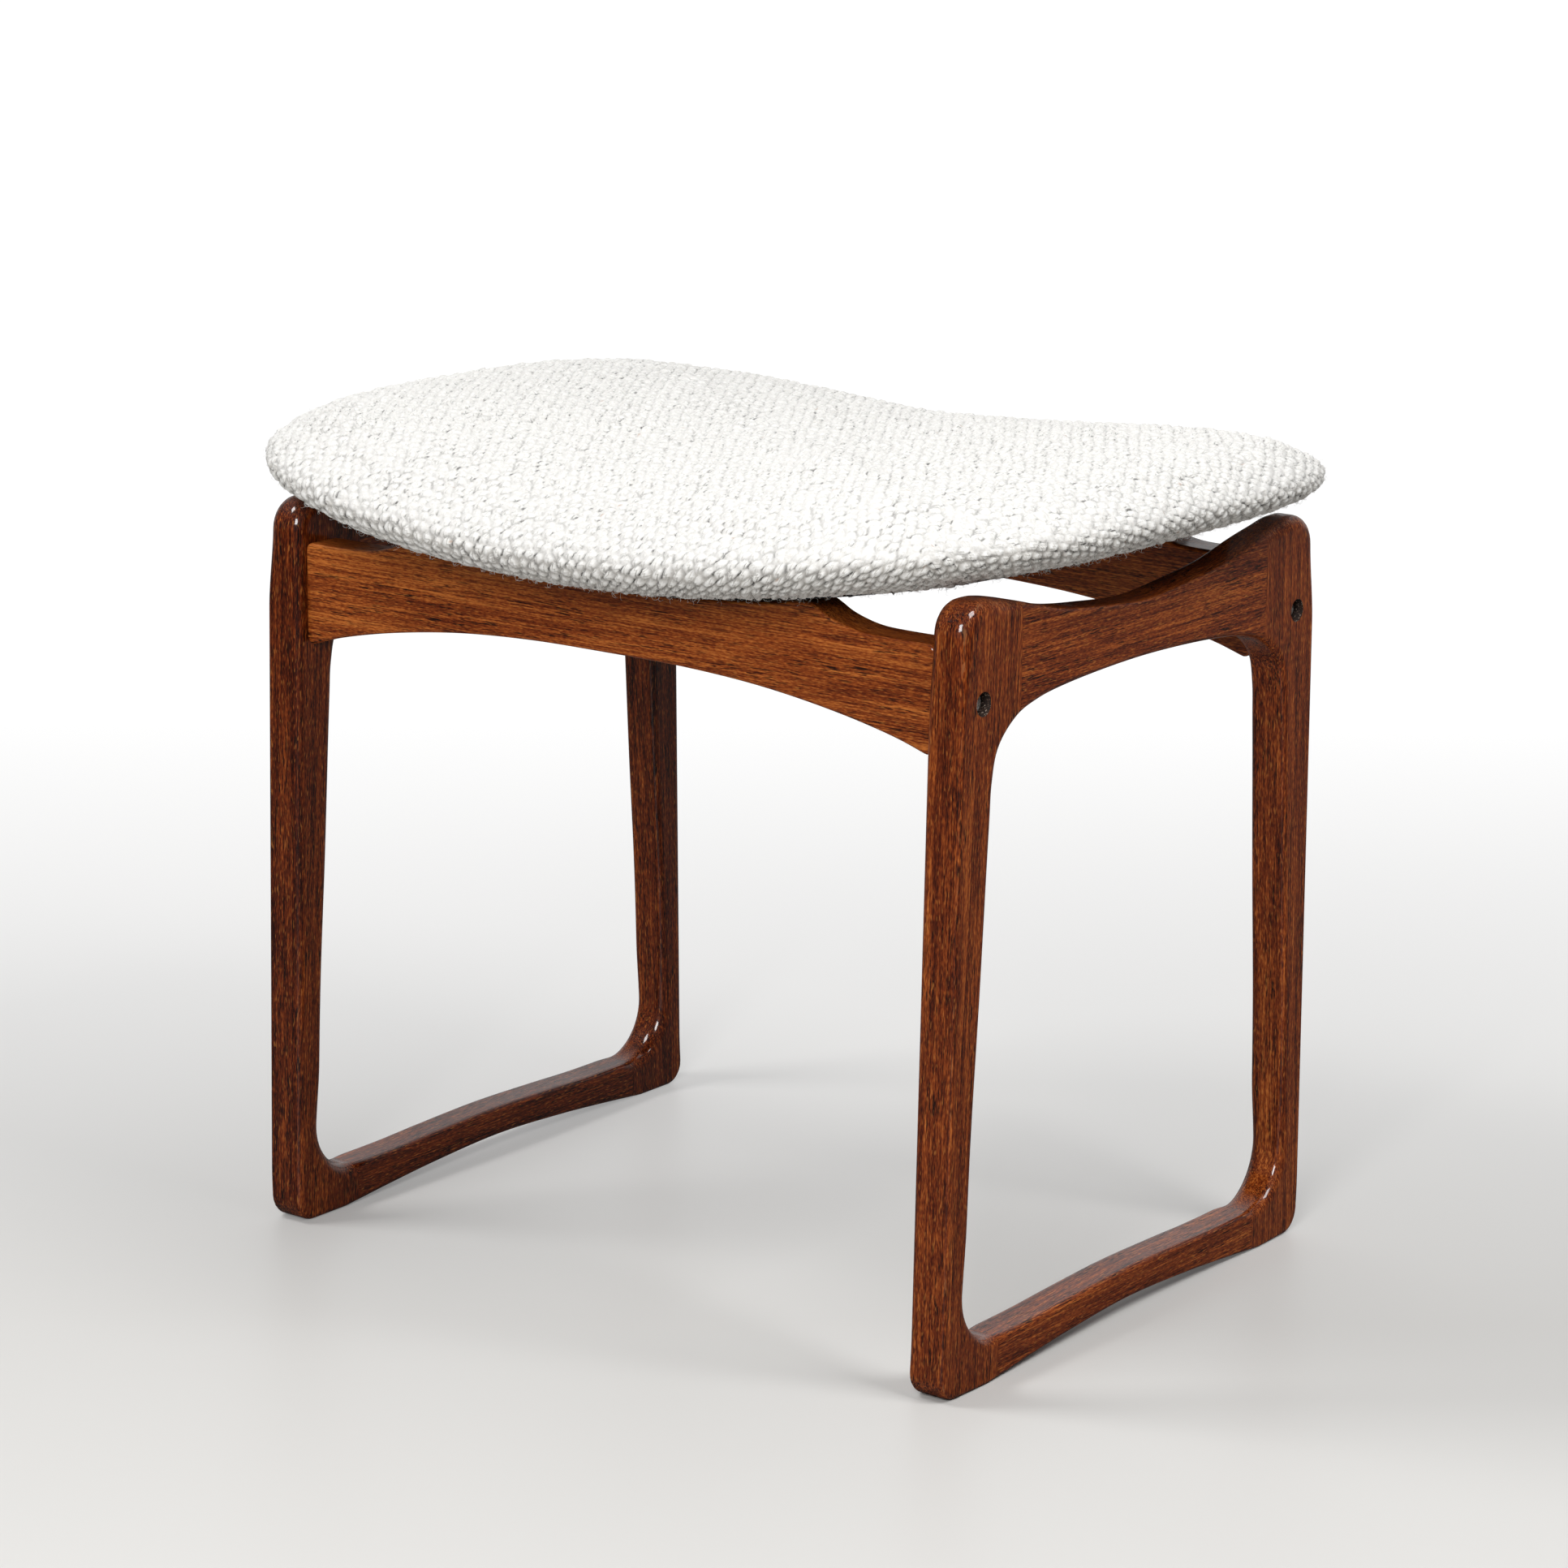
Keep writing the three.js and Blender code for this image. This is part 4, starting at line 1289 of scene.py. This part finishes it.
def make_joint(side_name, end_name, material):
    """The bolt, washer, barrel nut and seat screw at one corner."""
    side, end = SIDES[side_name], ENDS[end_name]
    corner = f"{end_name}_{side_name}"
    y = end * STRETCHER_Y
    outwards = Matrix.Rotation(side * math.pi / 2, 3, "Y")
    inwards = Matrix.Rotation(end * math.pi / 2, 3, "X")
    bolt_turn = outwards @ Matrix.Rotation(0.6 + 1.1 * side + 0.5 * end, 3, "Z")
    screw_turn = Matrix.Rotation(math.pi, 3, "X") @ Matrix.Rotation(0.9 * side + 0.4 * end, 3, "Z")
    bolt_place = (side * bolt_head_x, y, BOLT_Z)
    washer_place = (side * washer_x, y, BOLT_Z)
    nut_place = (side * nut_x, y, BOLT_Z)
    screw_place = (side * SCREW_X, y, SCREW_HEAD_Z + SEAT_SCREW["head_height"])
    nut_tools = [
        rod(0, side * (nut_x - 9), side * (nut_x + 9), BARREL_NUT["bore"], (y, BOLT_Z), 32),
        slot_tool(1.6, 8, BARREL_NUT["length"] / 2 - 1.4, inwards, nut_place),
    ]
    fastener(f"connector_bolt_{corner}", BOLT, BOLT["length"], bolt_turn, bolt_place, material)
    washer = ring_body(WASHER["radius"], WASHER["bore"], WASHER["thickness"])
    hardware(f"washer_{corner}", washer, outwards, washer_place, material)
    hardware(f"barrel_nut_{corner}", lathe(nut_profile()), inwards, nut_place, material, nut_tools)
    fastener(f"seat_screw_{corner}", SEAT_SCREW, seat_screw_length(), screw_turn, screw_place, material)


def finish_cad_nodes(materials):
    """Better materials on the CAD solids that stay: dowels, tee nuts and the shell."""
    for name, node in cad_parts.items():
        for start, material in materials.items():
            if name.startswith(start):
                node.data.materials.clear()
                node.data.materials.append(material)


# ---- Floor, camera and light ----

CAMERA_PLACE = (1.4440, -1.9150, 0.8414)
CAMERA_YAW = 37.065
CAMERA_PITCH = -13.826
CAMERA_ROLL = 0.530
LENS = 104.53
SENSOR = 36.0
LAMP_AIM = Vector((0, 0, 0.25))
BACKDROP = 0.96
AMBIENT = 0.14
WALL = 0.9
FLOOR_SEEN = (0.70, 0.69, 0.67)
FLOOR_LIT = (0.46, 0.45, 0.43)
FLOOR_MIRRORED = (0.08, 0.08, 0.08)


def make_camera():
    yaw, pitch, roll = (math.radians(a) for a in (CAMERA_YAW, CAMERA_PITCH, CAMERA_ROLL))
    aimed = Matrix.Rotation(yaw, 4, "Z") @ Matrix.Rotation(math.pi / 2 + pitch, 4, "X")
    data = bpy.data.cameras.new("camera")
    data.lens = LENS
    data.sensor_width = SENSOR
    camera = linked("camera", data)
    camera.matrix_world = Matrix.Translation(CAMERA_PLACE) @ aimed @ Matrix.Rotation(roll, 4, "Z")
    bpy.context.scene.camera = camera


def make_lamp(name, azimuth, elevation, distance, size, power):
    """A square soft box aimed at the stool. Azimuth 0 stands at the front and 90 at the right."""
    a, e = math.radians(azimuth), math.radians(elevation)
    toward = Vector((math.sin(a) * math.cos(e), -math.cos(a) * math.cos(e), math.sin(e)))
    data = bpy.data.lights.new(name, "AREA")
    data.shape = "SQUARE"
    data.size = size
    data.energy = power
    lamp = linked(name, data)
    lamp.location = LAMP_AIM + toward * distance
    lamp.rotation_euler = toward.to_track_quat("Z", "Y").to_euler()


def stage_surface():
    """A pale matt floor that brightens into the backdrop behind the stool. It lights the stool less."""
    s = Shader("stage_floor")
    fade = s.span(s.along_back(s.place()), -0.15, 1.5)
    fade = s.times(fade, s.span(fade, 0, 1, 1.6, 1.0))
    seen = s.node("LightPath", output=0)
    mirrored_ray = s.node("LightPath", output=3)
    colour = s.mix(seen, s.mix(mirrored_ray, FLOOR_LIT, FLOOR_MIRRORED), FLOOR_SEEN)
    return s.finish(
        Base_Color=s.mix(fade, colour, (0.0, 0.0, 0.0)),
        Roughness=0.42,
        Specular_IOR_Level=0.3,
        Emission_Color=(1, 1, 1, 1),
        Emission_Strength=s.times(fade, s.span(seen, 0, 1, 0.15, BACKDROP)),
    )


def make_world():
    """A pale backdrop. For the light on the stool it is a bright wall behind and a dim room in front."""
    world = bpy.data.worlds.new("studio")
    world.use_nodes = True
    s = Nodes(world.node_tree)
    behind = s.along_back(s.node("TexCoord", output=0))
    strength = s.span(behind, 0.35, 0.8, AMBIENT, WALL)
    choice = s.node("Mix", {0: s.node("LightPath", output=0), 2: strength, 3: BACKDROP})
    s.node("OutputWorld", {"Surface": s.node("Background", {"Strength": choice})})
    bpy.context.scene.world = world


def make_stage():
    mesh = bpy.data.meshes.new("floor")
    reach = 30.0
    corners = [(-reach, -reach, 0), (reach, -reach, 0), (reach, reach, 0), (-reach, reach, 0)]
    mesh.from_pydata(corners, [], [(0, 1, 2, 3)])
    mesh.materials.append(stage_surface())
    linked("floor", mesh)
    make_world()
    bpy.context.scene.view_settings.view_transform = "Standard"


# ---- The scene ----

make_camera()
make_stage()
make_lamp("key", 26, 26, 2.2, 0.7, 26)
make_lamp("right", 90, 48, 2.2, 0.8, 22)
make_lamp("left", -52, 52, 2.3, 0.66, 19)
make_lamp("top", 150, 76, 2.4, 1.2, 4)

metal = steel()
finish_cad_nodes({
    "rail_dowel": beech(),
    "runner_dowel": beech(),
    "stretcher_dowel": beech(),
    "tee_nut": metal,
    "seat_shell": plywood(),
})
# The counterbore walls' material carries painted shade.
painted_bore_shade = bore_wall_painted_shade()
for side_name in SIDES:
    make_side_frame(side_name, painted_bore_shade)
for end_name in ENDS:
    make_stretcher(end_name)
for end_name in ENDS:
    for side_name in SIDES:
        make_joint(side_name, end_name, metal)

skin, skin_normals = make_cover(boucle())
make_fibres(skin, skin_normals, wool())
make_foam(foam())
dust_cover = make_dust_cover(cambric())
make_staples(metal)
